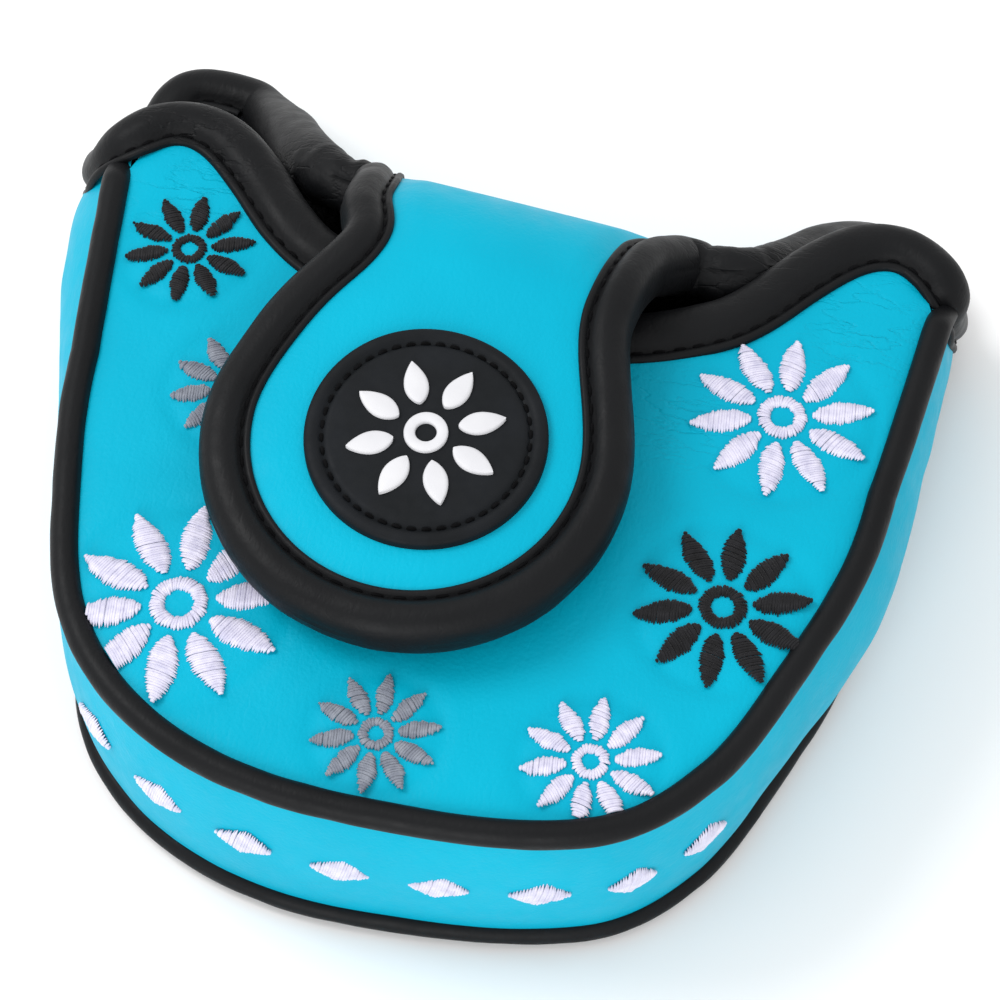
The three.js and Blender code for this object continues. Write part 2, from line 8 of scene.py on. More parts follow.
import bpy
import numpy as np
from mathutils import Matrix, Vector


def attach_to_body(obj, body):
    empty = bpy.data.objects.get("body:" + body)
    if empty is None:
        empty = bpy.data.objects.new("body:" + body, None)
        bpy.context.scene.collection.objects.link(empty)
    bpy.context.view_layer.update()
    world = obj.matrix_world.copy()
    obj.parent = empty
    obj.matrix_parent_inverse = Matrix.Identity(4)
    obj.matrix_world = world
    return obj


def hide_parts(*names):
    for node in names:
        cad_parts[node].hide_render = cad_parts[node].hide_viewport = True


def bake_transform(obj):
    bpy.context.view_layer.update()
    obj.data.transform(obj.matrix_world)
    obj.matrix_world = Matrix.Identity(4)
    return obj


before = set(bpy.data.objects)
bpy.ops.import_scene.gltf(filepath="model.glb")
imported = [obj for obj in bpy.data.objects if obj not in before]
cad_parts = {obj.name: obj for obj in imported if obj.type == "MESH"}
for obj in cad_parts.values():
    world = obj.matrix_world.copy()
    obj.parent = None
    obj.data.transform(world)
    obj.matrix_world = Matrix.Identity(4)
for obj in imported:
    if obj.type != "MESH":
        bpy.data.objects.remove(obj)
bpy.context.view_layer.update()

MM = 0.001
SHARP = math.radians(55)

# ---- driving dimensions, as in the solids

WIDEST_Y = -2
HALF_WIDTH = 59
NOSE_REACH = 63.4
NOSE_POWER = 2.6
SIDE_TAPER = 0.095

SKIN = (0.0, 1.0)
FOAM = (1.6, 3.8)
LINING = (4.4, 5.4)
MID_DEPTH = 2.7

FRONT_Z = 37.0
FRONT_CROWN = 2.4
CROWN_TO_MOUTH = 32

GUSSET_BOTTOM_Z = 3.4
GUSSET_TOP_Z = 35.6
BASE_INSET = 1.5
NOSE_BULGE = 1.5
SIDE_BULGE = 5.0
INSET_STARTS = (-88, -52)
INSET_ENDS = (-30, 20)
BULGE_RANGE = (-55, 5)
SIDE_SWAY = {"right": 1.6, "left": 3.6, "range": (-10, 22)}

CURL_Y = 14
CURL_RADIUS = 25.5
CURL_FULL_WIDTH = 27
CURL_NO_WIDTH = 50
EAR_LIFT = 5
EAR_LIFT_RANGE = (26, 50)
CURL_SKEW = {"slope": 0.08, "x": -20, "z": (6, 34), "y": (-5, 30)}

LIFT_HINGE = math.radians(10)
NECK_HALF_WIDTH = 20.2
NECK_FLARE = 3.6
NECK_FLARE_LENGTH = 20
LOBE_RADIUS = 26.3
LOBE_SHIFT_X = -7.3
WAIST = {"depth": 4.1, "length": 32, "reach": 8}
LOBE_Y = -14
FLAP_SLOPE = 0.06
SLOPE_EASE = 6

FRONT_PIPING = {"radius": 2.05, "z": 36.5, "end_y": 35.0, "dive": 4.6}
BASE_PIPING = {"radius": 1.7, "z": 2.4, "end_y": 47.0, "dive": 0.0}
DIVE_LENGTH = 8

ARC_LENGTH = CURL_RADIUS * (math.pi / 2 - LIFT_HINGE)
LOBE_LENGTH = ARC_LENGTH + CURL_Y - LOBE_Y
LIFT_STATION = CURL_RADIUS * (math.pi / 2 + LIFT_HINGE)

# Where the flap's pieces part: below the lift hinge, and between the two hinges.
FLAP_START = -3.5
NECK_SPLIT = 8.0


# ---- small maths

def smooth(value, low, high):
    share = np.clip((np.asarray(value, float) - low) / (high - low), 0, 1)
    return share * share * (3 - 2 * share)


def points(*parts):
    return np.stack(np.broadcast_arrays(*[np.asarray(p, float) for p in parts]), axis=-1)


def unit(vectors):
    return vectors / np.maximum(np.linalg.norm(vectors, axis=-1, keepdims=True), 1e-9)


class Noise:
    """Smooth noise from -1 to 1 on a repeating lattice, the same on every run."""

    SIDE = 24

    def __init__(self, seed):
        self.lattice = np.random.default_rng(seed).uniform(-1, 1, (self.SIDE,) * 3)

    def __call__(self, place, size):
        scaled = np.asarray(place, float) / size
        base = np.floor(scaled).astype(int)
        part = scaled - base
        part = part * part * (3 - 2 * part)
        total = 0
        for corner in np.ndindex(2, 2, 2):
            index = (base + corner) % self.SIDE
            weight = np.prod(np.where(np.array(corner) == 1, part, 1 - part), axis=-1)
            total = total + weight * self.lattice[index[..., 0], index[..., 1], index[..., 2]]
        return total


noise = Noise(3)


def run_of(path):
    """The length along a polyline at each of its points."""
    return np.r_[0, np.cumsum(np.linalg.norm(np.diff(path, axis=0), axis=1))]


def sample(values, run, at):
    """Columns of values, known at the lengths run, read at other lengths."""
    return np.stack([np.interp(at, run, column) for column in values.T], axis=-1)


def spaced(path, step=None, count=None):
    """A polyline resampled at even lengths along it."""
    lengths = run_of(path)
    number = count or max(2, int(round(lengths[-1] / step)) + 1)
    at = np.linspace(0, lengths[-1], number)
    return sample(path, lengths, at)


def curve(controls, per_span=24):
    """A Catmull-Rom curve through its control points."""
    control = np.asarray(controls, float)
    padded = np.vstack([2 * control[0] - control[1], control, 2 * control[-1] - control[-2]])
    pieces = []
    for i in range(len(control) - 1):
        a, b, c, d = padded[i:i + 4]
        t = np.linspace(0, 1, per_span, endpoint=False)[:, None]
        pieces.append(0.5 * (2 * b + (c - a) * t + (2 * a - 5 * b + 4 * c - d) * t ** 2
                             + (3 * b - a - 3 * c + d) * t ** 3))
    return np.vstack([*pieces, control[-1:]])


def along(path, closed=False):
    if closed:
        return unit(np.roll(path, -1, axis=0) - np.roll(path, 1, axis=0))
    return unit(np.gradient(path, axis=0))


# ---- outline and sheets

_turn = np.linspace(0, math.pi, 721)
_across = np.cos(_turn)
NOSE = np.stack([
    -np.sign(_across) * HALF_WIDTH * np.abs(_across) ** (2 / NOSE_POWER),
    WIDEST_Y - NOSE_REACH * np.abs(np.sin(_turn)) ** (2 / NOSE_POWER),
], axis=1)
NOSE = spaced(NOSE, count=1441)
LEAN_RANGE = (25, 45)
RIGHT_LEAN = {"all": 1.7, "corner": 4.2, "y": -35, "reach": 20}
LEFT_LEAN = {"all": 0.0, "corner": 1.7, "y": -26, "reach": 16}
NOSE_LENGTH = run_of(NOSE)[-1]


def side_width(y):
    return HALF_WIDTH + SIDE_TAPER * (np.asarray(y, float) - WIDEST_Y)


def lean_in(y, side):
    return side["all"] + side["corner"] * np.exp(-((y - side["y"]) / side["reach"]) ** 2)


def lean(x, y):
    """The stuffed cover leans: its right side, above all at the corner, lies a little further in."""
    right = lean_in(y, RIGHT_LEAN) * smooth(x, *LEAN_RANGE)
    left = lean_in(y, LEFT_LEAN) * smooth(-x, *LEAN_RANGE)
    return points(x - right + left, y)


def base_inset(distance):
    """The base lies further in than the front panel, except at the left of the nose."""
    return BASE_INSET * (1 - smooth(-distance, *INSET_ENDS) * smooth(distance, *INSET_STARTS))


def outline_by_length(distance):
    """Point of the U-shaped outline at a signed length from the middle of the nose."""
    distance = np.asarray(distance, float)
    share = np.clip(0.5 + distance / NOSE_LENGTH, 0, 1) * (len(NOSE) - 1)
    x = np.interp(share, np.arange(len(NOSE)), NOSE[:, 0])
    y = np.interp(share, np.arange(len(NOSE)), NOSE[:, 1])
    beyond = np.abs(distance) - NOSE_LENGTH / 2
    side_y = WIDEST_Y + beyond
    on_side = beyond > 0
    return lean(np.where(on_side, np.sign(distance) * side_width(side_y), x), np.where(on_side, side_y, y))


def outline(distance, outward=0.0):
    reach = 1.2
    step = outline_by_length(distance + reach) - outline_by_length(distance - reach)
    direction = unit(step)
    normal = points(direction[..., 1], -direction[..., 0])
    return outline_by_length(distance) + normal * np.asarray(outward)[..., None]


def outline_length(end_y):
    return NOSE_LENGTH / 2 + end_y - WIDEST_Y


def on_front(x, y, depth=0.0):
    x, y = np.asarray(x, float), np.asarray(y, float)
    across = x / HALF_WIDTH
    reach = np.where(y < WIDEST_Y, NOSE_REACH, CROWN_TO_MOUTH)
    crown = np.maximum(0, 1 - across ** 2) * np.maximum(0, 1 - ((y - WIDEST_Y) / reach) ** 2)
    return points(x, y, FRONT_Z + FRONT_CROWN * crown - depth)


def on_gusset(distance, share, depth=0.0):
    """share runs from 0 at the base piping to 1 at the front piping."""
    distance, share = np.broadcast_arrays(np.asarray(distance, float), np.asarray(share, float))
    y = outline_by_length(distance)[..., 1]
    arch = 4 * share * (1 - share)
    bulge = (NOSE_BULGE + (SIDE_BULGE - NOSE_BULGE) * smooth(y, *BULGE_RANGE)) * arch ** 0.8
    sway = np.where(distance < 0, SIDE_SWAY["left"], -SIDE_SWAY["right"])
    sway = sway * smooth(y, *SIDE_SWAY["range"]) * arch
    plan = outline(distance, -base_inset(distance) * (1 - share) + bulge + sway - depth)
    return points(plan[..., 0], plan[..., 1], GUSSET_BOTTOM_Z + (GUSSET_TOP_Z - GUSSET_BOTTOM_Z) * share)


def skewed(place):
    """The curl lies a little aslant: its right side doesn't reach as far back as its left."""
    x, y, z = place[..., 0], place[..., 1], place[..., 2]
    back = CURL_SKEW["slope"] * np.maximum(x - CURL_SKEW["x"], 0)
    return points(x, y - back * smooth(z, *CURL_SKEW["z"]) * smooth(y, *CURL_SKEW["y"]), z)


def back_surface(x, s):
    x, s = np.broadcast_arrays(np.asarray(x, float), np.asarray(s, float))
    curl = 1 - smooth(np.abs(x), CURL_FULL_WIDTH, CURL_NO_WIDTH)
    turn = np.maximum(s, 0) / CURL_RADIUS
    flat_y = CURL_Y + s
    curled_y = np.where(s < 0, flat_y, CURL_Y + CURL_RADIUS * np.sin(turn))
    curled_z = CURL_RADIUS * (1 - np.cos(turn))
    flat_z = EAR_LIFT * smooth(s, *EAR_LIFT_RANGE)
    return skewed(points(x, curl * curled_y + (1 - curl) * flat_y, curl * curled_z + (1 - curl) * flat_z))


def on_back(x, s, depth=0.0):
    reach = 0.4
    across = back_surface(x + reach, s) - back_surface(x - reach, s)
    forward = back_surface(x, s + reach) - back_surface(x, s - reach)
    inward = unit(np.cross(across, forward))
    return back_surface(x, s) + inward * np.asarray(depth)[..., None]


def on_flap(x, length, depth=0.0):
    x, length, depth = np.broadcast_arrays(*[np.asarray(v, float) for v in (x, length, depth)])
    angle = LIFT_HINGE + np.minimum(length, ARC_LENGTH) / CURL_RADIUS
    radius = CURL_RADIUS - depth
    run = np.maximum(length - ARC_LENGTH, 0)
    ease = run - SLOPE_EASE * (1 - np.exp(-run / SLOPE_EASE))
    y = CURL_Y + radius * np.cos(angle) - run
    z = CURL_RADIUS + radius * np.sin(angle) - FLAP_SLOPE * ease
    return skewed(points(x, y, z))


def flap_centre(length):
    share = np.clip(np.asarray(length, float) / LOBE_LENGTH, 0, 1)
    return LOBE_SHIFT_X * np.sin(math.pi / 2 * share) + flap_waist(length) / 2


def flap_waist(length):
    """The left side of the neck draws in above the top bend."""
    return WAIST["depth"] * np.exp(-((np.asarray(length, float) - WAIST["length"]) / WAIST["reach"]) ** 2)


def flap_half_width(length):
    length = np.asarray(length, float)
    flare = NECK_FLARE * (1 - smooth(length, 0, NECK_FLARE_LENGTH))
    widening = (LOBE_RADIUS - NECK_HALF_WIDTH) * smooth(length, ARC_LENGTH, LOBE_LENGTH)
    round_end = np.sqrt(np.maximum(0, LOBE_RADIUS ** 2 - np.maximum(length - LOBE_LENGTH, 0) ** 2))
    beside = NECK_HALF_WIDTH + flare + widening - flap_waist(length) / 2
    return np.where(length > LOBE_LENGTH, round_end, beside)


# ---- meshes

THREAD_SIDES = 6


def add_mesh(name, verts, faces, material, attach=None, slot=None, replaced=(), fill=None):
    """A finished piece. attach is the body that it rides on, or a function that is run on it."""
    mesh = bpy.data.meshes.new(name)
    mesh.from_pydata((np.asarray(verts).reshape(-1, 3) * MM).tolist(), [], faces)
    mesh.polygons.foreach_set("use_smooth", [True] * len(mesh.polygons))
    mesh.materials.append(material)
    mesh.validate()
    mesh.set_sharp_from_angle(angle=SHARP)
    obj = bpy.data.objects.new(name, mesh)
    bpy.context.scene.collection.objects.link(obj)
    if isinstance(attach, str):
        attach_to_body(obj, attach)
    elif attach:
        attach(obj)
    if replaced:
        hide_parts(*replaced)
    return obj


def grid_quads(rows, cols, wrap=False, start=0, flip=False):
    across = cols if wrap else cols - 1
    r, c = np.meshgrid(np.arange(rows - 1), np.arange(across), indexing="ij")
    after = (c + 1) % cols
    quads = np.stack([r * cols + c, r * cols + after, (r + 1) * cols + after, (r + 1) * cols + c], axis=-1)
    quads = quads.reshape(-1, 4) + start
    return (quads[:, ::-1] if flip else quads).tolist()


def shell_of_grid(top, bottom):
    """A closed shell from two grids of the same size, an outer and an inner face."""
    rows, cols = top.shape[:2]
    count = rows * cols
    faces = grid_quads(rows, cols) + grid_quads(rows, cols, start=count, flip=True)
    index = np.arange(count).reshape(rows, cols)
    rim = [int(i) for i in (*index[0], *index[1:, -1], *index[-1, -2::-1], *index[-2:0:-1, 0])]
    for a, b in zip(rim, rim[1:] + rim[:1]):
        faces.append([b, a, a + count, b + count])
    return np.vstack([top.reshape(-1, 3), bottom.reshape(-1, 3)]), faces


def shell_of_rings(top, bottom):
    """The same for two sets of rings round a middle point, given as a first ring of no size."""
    rings, cols = top.shape[:2]
    count = 1 + (rings - 1) * cols
    verts, faces = [], []
    for face, (side, flip) in enumerate([(top, False), (bottom, True)]):
        verts += [side[0, :1], side[1:].reshape(-1, 3)]
        start = face * count
        faces += grid_quads(rings - 1, cols, wrap=True, start=start + 1, flip=flip)
        for i in range(cols):
            j = (i + 1) % cols
            fan = [start, start + 1 + j, start + 1 + i]
            faces.append(fan[::-1] if flip else fan)
    last = 1 + (rings - 2) * cols
    for i in range(cols):
        j = (i + 1) % cols
        faces.append([last + j, last + i, last + i + count, last + j + count])
    return np.vstack(verts), faces


def sweep(rings, closed=False):
    """A skin over rings of points, capped at both ends unless the run is closed."""
    rows, cols = rings.shape[:2]
    quads = grid_quads(rows, cols, wrap=True)
    last = (rows - 1) * cols
    if closed:
        quads += [[last + i, last + (i + 1) % cols, (i + 1) % cols, i] for i in range(cols)]
    else:
        quads += [list(range(cols))[::-1], list(range(last, last + cols))]
    return rings.reshape(-1, 3), quads


def threads(paths, ups, half_width, half_height):
    """Many short threads at once: paths (n, k, 3), ups (n, k, 3), each thread rounded off at both ends."""
    sides = THREAD_SIDES
    number, count = paths.shape[:2]
    direction = unit(np.gradient(paths, axis=1))
    side = unit(np.cross(ups, direction))
    up = unit(np.cross(direction, side))
    share = np.linspace(-1, 1, count)
    fullness = np.sqrt(np.maximum(1 - np.abs(share) ** 6, 0.04))[None, :, None, None]
    turn = np.arange(sides) * 2 * math.pi / sides
    across = half_width * np.cos(turn)[None, None, :, None] * side[:, :, None]
    above = half_height * np.sin(turn)[None, None, :, None] * up[:, :, None]
    verts = (paths[:, :, None] + fullness * (across + above)).reshape(-1, 3)
    one = grid_quads(count, sides, wrap=True)
    one += [list(range(sides))[::-1], [(count - 1) * sides + i for i in range(sides)]]
    faces = [[v + i * count * sides for v in face] for i in range(number) for face in one]
    return verts, faces


def join(parts):
    verts, faces, start = [], [], 0
    for part_verts, part_faces in parts:
        verts.append(part_verts)
        faces += [[v + start for v in face] for face in part_faces]
        start += len(part_verts)
    return np.vstack(verts), faces


# ---- materials

def srgb(red, green, blue):
    shares = np.array([red, green, blue]) / 255
    linear = np.where(shares <= 10 / 255, shares / 12.92, ((shares + 0.055) / 1.055) ** 2.4)
    return (*linear.tolist(), 1.0)


class Look:
    """A node material: a Principled shader, object coordinates and a few short ways to add to them."""

    def __init__(self, name, color, roughness, **sockets):
        self.material = bpy.data.materials.new(name)
        self.material.use_nodes = True
        self.tree = self.material.node_tree
        self.shader = self.tree.nodes["Principled BSDF"]
        self.shader.inputs["Base Color"].default_value = color
        self.shader.inputs["Roughness"].default_value = roughness
        for socket, value in sockets.items():
            self.shader.inputs[socket.replace("_", " ")].default_value = value
        self.place = self.tree.nodes.new("ShaderNodeTexCoord").outputs["Object"]
        self.color = color

    def node(self, kind, links=None, **values):
        node = self.tree.nodes.new(kind)
        for key, value in values.items():
            if key in node.inputs.keys():
                node.inputs[key].default_value = value
            else:
                setattr(node, key, value)
        for socket, source in (links or {}).items():
            self.tree.links.new(source, node.inputs[socket])
        return node

    def noise(self, size, detail=3.0, place=None):
        links = {"Vector": place or self.place}
        return self.node("ShaderNodeTexNoise", links, Scale=1 / (size * MM), Detail=detail).outputs["Fac"]

    def cells(self, size, place=None):
        links = {"Vector": place or self.place}
        return self.node("ShaderNodeTexVoronoi", links, Scale=1 / (size * MM)).outputs["Distance"]

    def stretched(self, scale, turn=(0, 0, 0)):
        node = self.node("ShaderNodeMapping", {"Vector": self.place})
        node.inputs["Scale"].default_value = scale
        node.inputs["Rotation"].default_value = turn
        return node.outputs["Vector"]

    def ranged(self, value, low, high, to_low=0, to_high=1):
        node = self.node("ShaderNodeMapRange", {"Value": value})
        limits = {"From Min": low, "From Max": high, "To Min": to_low, "To Max": to_high}
        for socket, number in limits.items():
            node.inputs[socket].default_value = number
        return node.outputs["Result"]

    def math(self, operation, a, b):
        node = self.node("ShaderNodeMath", operation=operation)
        for socket, value in zip(node.inputs, (a, b)):
            if isinstance(value, (int, float)):
                socket.default_value = value
            else:
                self.tree.links.new(value, socket)
        return node.outputs["Value"]

    def near(self, spots):
        """1 at any of the spots (x, y, z, radius), falling to 0 at its radius."""
        total = None
        for x, y, z, radius in spots:
            node = self.node("ShaderNodeVectorMath", operation="DISTANCE")
            self.tree.links.new(self.place, node.inputs[0])
            node.inputs[1].default_value = (x * MM, y * MM, z * MM)
            share = self.ranged(node.outputs["Value"], 0.2 * radius * MM, radius * MM, 1, 0)
            total = self.math("MAXIMUM", total, share) if total else share
        return total

    def tint(self, factor, other):
        node = self.node("ShaderNodeMix", data_type="RGBA")
        self.tree.links.new(factor, node.inputs[0])
        node.inputs[6].default_value = self.color
        node.inputs[7].default_value = other
        self.tree.links.new(node.outputs[2], self.shader.inputs["Base Color"])

    def rough(self, value, low, high):
        self.tree.links.new(self.ranged(value, 0.3, 0.7, low, high), self.shader.inputs["Roughness"])

    def bump(self, height, distance, strength=1.0, under=None):
        links = {"Height": height}
        if under:
            links["Normal"] = under
        node = self.node("ShaderNodeBump", links, Strength=strength, Distance=distance * MM)
        self.tree.links.new(node.outputs["Normal"], self.shader.inputs["Normal"])
        return node.outputs["Normal"]


def leather(name, color, other, roughness, grain, wrinkled, **sockets):
    """Pebble grain all over, worn lines all over, and folds only at the wrinkled spots."""
    look = Look(name, color, roughness, **sockets)
    look.tint(look.ranged(look.noise(26), 0.35, 0.7), other)
    look.rough(look.noise(3.5), roughness - 0.06, roughness + 0.08)
    pebbles = look.math("ADD", look.cells(0.62), look.math("MULTIPLY", look.noise(0.3), 0.6))
    fine = look.bump(pebbles, grain, 0.55)
    creases = look.noise(2.2, 5.0, look.stretched((1, 0.35, 1), (0, 0, math.radians(-35))))
    ridged = look.math("ABSOLUTE", look.math("SUBTRACT", creases, 0.5), 0)
    worn = look.bump(look.ranged(ridged, 0, 0.07), 0.05, 0.3, fine)
    folds = look.noise(3.6, 4.0, look.stretched((0.5, 1.3, 1), (0, 0, math.radians(20))))
    valley = look.ranged(look.math("ABSOLUTE", look.math("SUBTRACT", folds, 0.5), 0), 0, 0.045)
    shallow = look.math("MULTIPLY", look.math("SUBTRACT", valley, 1), look.near(wrinkled))
    look.bump(shallow, 0.16, 0.8, worn)
    return look.material


def thread(name, color, other, roughness, sheen):
    look = Look(name, color, roughness, Sheen_Weight=sheen, Specular_IOR_Level=sheen)
    look.tint(look.ranged(look.noise(1.6), 0.35, 0.68), other)
    look.bump(look.noise(0.12), 0.04, 0.5)
    return look.material


def knit(name, color, other):
    look = Look(name, color, 0.95, Sheen_Weight=0.04, Specular_IOR_Level=0.08)
    look.tint(look.ranged(look.noise(0.9), 0.35, 0.65), other)
    loops = look.math("ADD", look.cells(0.8, look.stretched((1, 0.55, 1))), look.noise(0.25))
    look.bump(loops, 0.35, 0.8)
    return look.material


def rubber(name, color, other, roughness):
    look = Look(name, color, roughness, Specular_IOR_Level=0.15)
    look.tint(look.ranged(look.noise(7), 0.35, 0.7), other)
    look.rough(look.noise(1.5), roughness - 0.05, roughness + 0.08)
    look.bump(look.noise(0.22), 0.025, 0.5)
    return look.material


# Where the leather has fine wrinkles: x, y, z and reach.
PANEL_WRINKLES = [(50, 25, 38, 13), (-50, 27, 38, 12), (28, 4, 39, 11), (-27, 24, 49, 10)]
BINDING_WRINKLES = [(-30, 36, 28, 16), (30, 34, 28, 18), (-50, 38, 36, 14)]
TURQUOISE = leather("turquoise_leather", srgb(0, 161, 190), srgb(0, 168, 197), 0.46, 0.05, PANEL_WRINKLES,
                    Specular_IOR_Level=0.08)
BLACK = leather("black_binding_leather", srgb(12, 13, 15), srgb(18, 19, 21), 0.48, 0.035, BINDING_WRINKLES,
                Specular_IOR_Level=0.15)
SEWING = thread("black_sewing_thread", srgb(5, 5, 6), srgb(12, 12, 14), 0.6, 0.03)
KNIT = knit("dark_knit_lining", srgb(17, 18, 21), srgb(28, 29, 33))
FOAM_LOOK = rubber("cream_foam", srgb(216, 210, 196), srgb(196, 190, 175), 0.95)
THREADS = {
    "white": thread("white_embroidery", srgb(216, 213, 230), srgb(192, 190, 212), 0.5, 0.3),
    "grey": thread("grey_embroidery", srgb(134, 139, 150), srgb(108, 113, 126), 0.45, 0.3),
    "black": thread("black_embroidery", srgb(10, 10, 13), srgb(24, 24, 28), 0.5, 0.15),
}
PATCH_RUBBER = rubber("black_patch_rubber", srgb(13, 16, 19), srgb(19, 22, 26), 0.6)
EMBLEM_RUBBER = rubber("white_emblem_rubber", srgb(212, 212, 215), srgb(202, 202, 206), 0.5)
NICKEL = rubber("nickel_plate", srgb(200, 203, 207), srgb(178, 180, 184), 0.28)
NICKEL.node_tree.nodes["Principled BSDF"].inputs["Metallic"].default_value = 1.0


# ---- edges of the panels

FRONT_EDGE_HALF = [
    (0, 13.6), (16, 14.4), (28.2, 19.2), (35, 24), (41.8, 31.6), (47.5, 37), (52.5, 39.2), (57, 38.6),
    (61, 35.6),
]
# Each back ear's edge from the crotch outwards: -1 is the left ear, 1 the right one.
BACK_EDGES = {
    -1: [
        (25.6, 47.8), (28.4, 48.8), (32, 50), (37, 50.2), (46, 49), (56, 49.8), (60.6, 49.2), (62.8, 45.4),
        (63, 40),
    ],
    1: [
        (25.6, 48.2), (28.4, 49.6), (32, 50.2), (37, 49.0), (42, 46.4), (48, 43.8), (53, 41.6), (56.6, 39),
        (58, 35.5),
    ],
}
GUSSET_END_TOP = (32.5, 0.86)
GUSSET_END_BOTTOM_Y = 48
END_SINK = 1.5
GUSSET_HEEL_CUT = 3.0
FRONT_CORNER_CUT = 3.5
FRONT_EDGE_CUT = 10
NECK_FOOT = 6.6
CROTCH_TURN = (24.2, 49.0)
FOOT_FLARE = 2.6
UNDER_FLAP = 20.8


def front_edge():
    left_half = [(-x, y) for x, y in FRONT_EDGE_HALF[:0:-1]]
    edge = curve(left_half + FRONT_EDGE_HALF)
    return spaced(lean(edge[:, 0], edge[:, 1]), step=0.5)


def back_edge(side):
    """From the crotch beside the flap to the outer corner."""
    return spaced(curve([(side * x, s) for x, s in BACK_EDGES[side]]), step=0.5)


def gusset_end_y(share):
    top_y, top_share = GUSSET_END_TOP
    return top_y + (GUSSET_END_BOTTOM_Y - top_y) * np.maximum(0, 1 - share / top_share)


def flap_edge(side, lengths):
    return points(flap_centre(lengths) + side * flap_half_width(lengths), lengths)


# ---- padded panels

LAYERS = [
    ("skin", SKIN, TURQUOISE, "panel_leather"),
    ("foam", FOAM, FOAM_LOOK, "foam"),
    ("lining", LINING, KNIT, "lining"),
]
PANEL_FILL = 0.7
ROLL_FILL = 0.8
FRONT_CENTRE = np.array([0.0, -12.0])
BACK_CENTRE = np.array([0.0, -30.0])
FRONT_SEAM = {"depth": 0.9, "reach": 2.0}
MOTIF_DENT = {"depth": 0.28, "reach": 1.6}
PUFF = {"height": 0.45, "size": 21}


def add_panel(piece, node, shell, material, attach, slot):
    add_mesh(piece, *shell, material, attach, slot, [node], PANEL_FILL)


def seam_dip(distance, depth, reach):
    """How far a padded panel is drawn down beside its seam."""
    return depth * np.exp(-np.maximum(distance, 0) / reach)


def ring_layer(outline_points, centre, shares, sheet, depth, relief):
    """Two faces of a layer, as rings that shrink from its outline to its centre."""
    spread = outline_points[None] - centre
    grid = centre + spread * shares[:, None, None]
    edge_distance = np.linalg.norm(spread, axis=2) * (1 - shares[:, None])
    height = relief(grid, edge_distance)
    top = sheet(grid[..., 0], grid[..., 1], depth[0] - height)
    bottom = sheet(grid[..., 0], grid[..., 1], depth[1] - height)
    return shell_of_rings(top, bottom)


MOTIFS = [
    ("motif_black_left", "black", -48.2, 17.6, 9.5),
    ("motif_grey_left", "grey", -36, -4.8, 9.3),
    ("motif_white_left", "white", -35.5, -40, 15.5),
    ("motif_grey_nose", "grey", -4.3, -54, 9),
    ("motif_white_nose", "white", 25.3, -52, 9.8),
    ("motif_black_right", "black", 38.5, -25, 12.6),
    ("motif_white_right", "white", 41, 7.2, 13.2),
]


def front_relief(grid, edge_distance):
    place = np.concatenate([grid, np.zeros_like(grid[..., :1])], axis=-1)
    puff = PUFF["height"] * noise(place, PUFF["size"])
    height = puff * smooth(edge_distance, 2, 16) - seam_dip(edge_distance, **FRONT_SEAM)
    for _, _, x, y, radius in MOTIFS:
        off = np.hypot(grid[..., 0] - x, grid[..., 1] - y) - radius
        dent = MOTIF_DENT["depth"] * np.exp(-(off / MOTIF_DENT["reach"]) ** 2)
        height = height - dent * smooth(edge_distance, 0, 3)
    return height


def ring_shares(count):
    return 1 - (1 - np.linspace(0, 1, count)) ** 1.7


def front_panel():
    body_reach = outline_length(GUSSET_END_TOP[0] - FRONT_CORNER_CUT)
    body = outline(np.linspace(-body_reach, body_reach, 420), -1.0)
    edge = front_edge()[::-1][FRONT_EDGE_CUT:-FRONT_EDGE_CUT]
    outline_points = np.vstack([body, edge])
    for suffix, depth, material, slot in LAYERS:
        fine = suffix == "skin"
        chosen = outline_points if fine else outline_points[::3]
        relief = front_relief if fine else (lambda grid, distance: -seam_dip(distance, 0.8, 2.0))
        shares = ring_shares(80 if fine else 14)
        shell = ring_layer(chosen, FRONT_CENTRE, shares, on_front, depth, relief)
        add_panel(f"front_{suffix}", f"front_panel_{suffix}", shell, material, "root", slot)


def back_panel():
    body_reach = outline_length(GUSSET_END_BOTTOM_Y)
    distance = np.linspace(-body_reach, body_reach, 300)
    body = outline(distance, -base_inset(distance) - 0.9) - np.array([0, CURL_Y])
    right = back_edge(1)[::-1]
    left = back_edge(-1)
    foot = LIFT_STATION + FLAP_START
    middle = points(np.linspace(UNDER_FLAP, -UNDER_FLAP, 60), foot)
    outline_points = np.vstack([body, right, middle, left])

    def relief(grid, distance):
        place = np.concatenate([grid, np.full_like(grid[..., :1], 40.0)], axis=-1)
        on_arc = smooth(grid[..., 1], 4, 20)
        below_flap = smooth(foot - grid[..., 1], 0, 18)
        beside = smooth(np.abs(grid[..., 0]), 28, 38)
        room = 1 - beside * (1 - smooth(distance, 2, 14))
        puff = 0.35 * noise(place, 19) * below_flap * room * on_arc
        return puff - seam_dip(distance, 0.4, 2.0) * (1 - on_arc)

    for suffix, depth, material, slot in LAYERS:
        fine = suffix != "foam"
        chosen = outline_points if fine else outline_points[::3]
        shares = ring_shares(64 if fine else 24)
        shell = ring_layer(chosen, BACK_CENTRE, shares, on_back, depth, relief)
        add_panel(f"back_{suffix}", f"back_panel_{suffix}", shell, material, "root", slot)


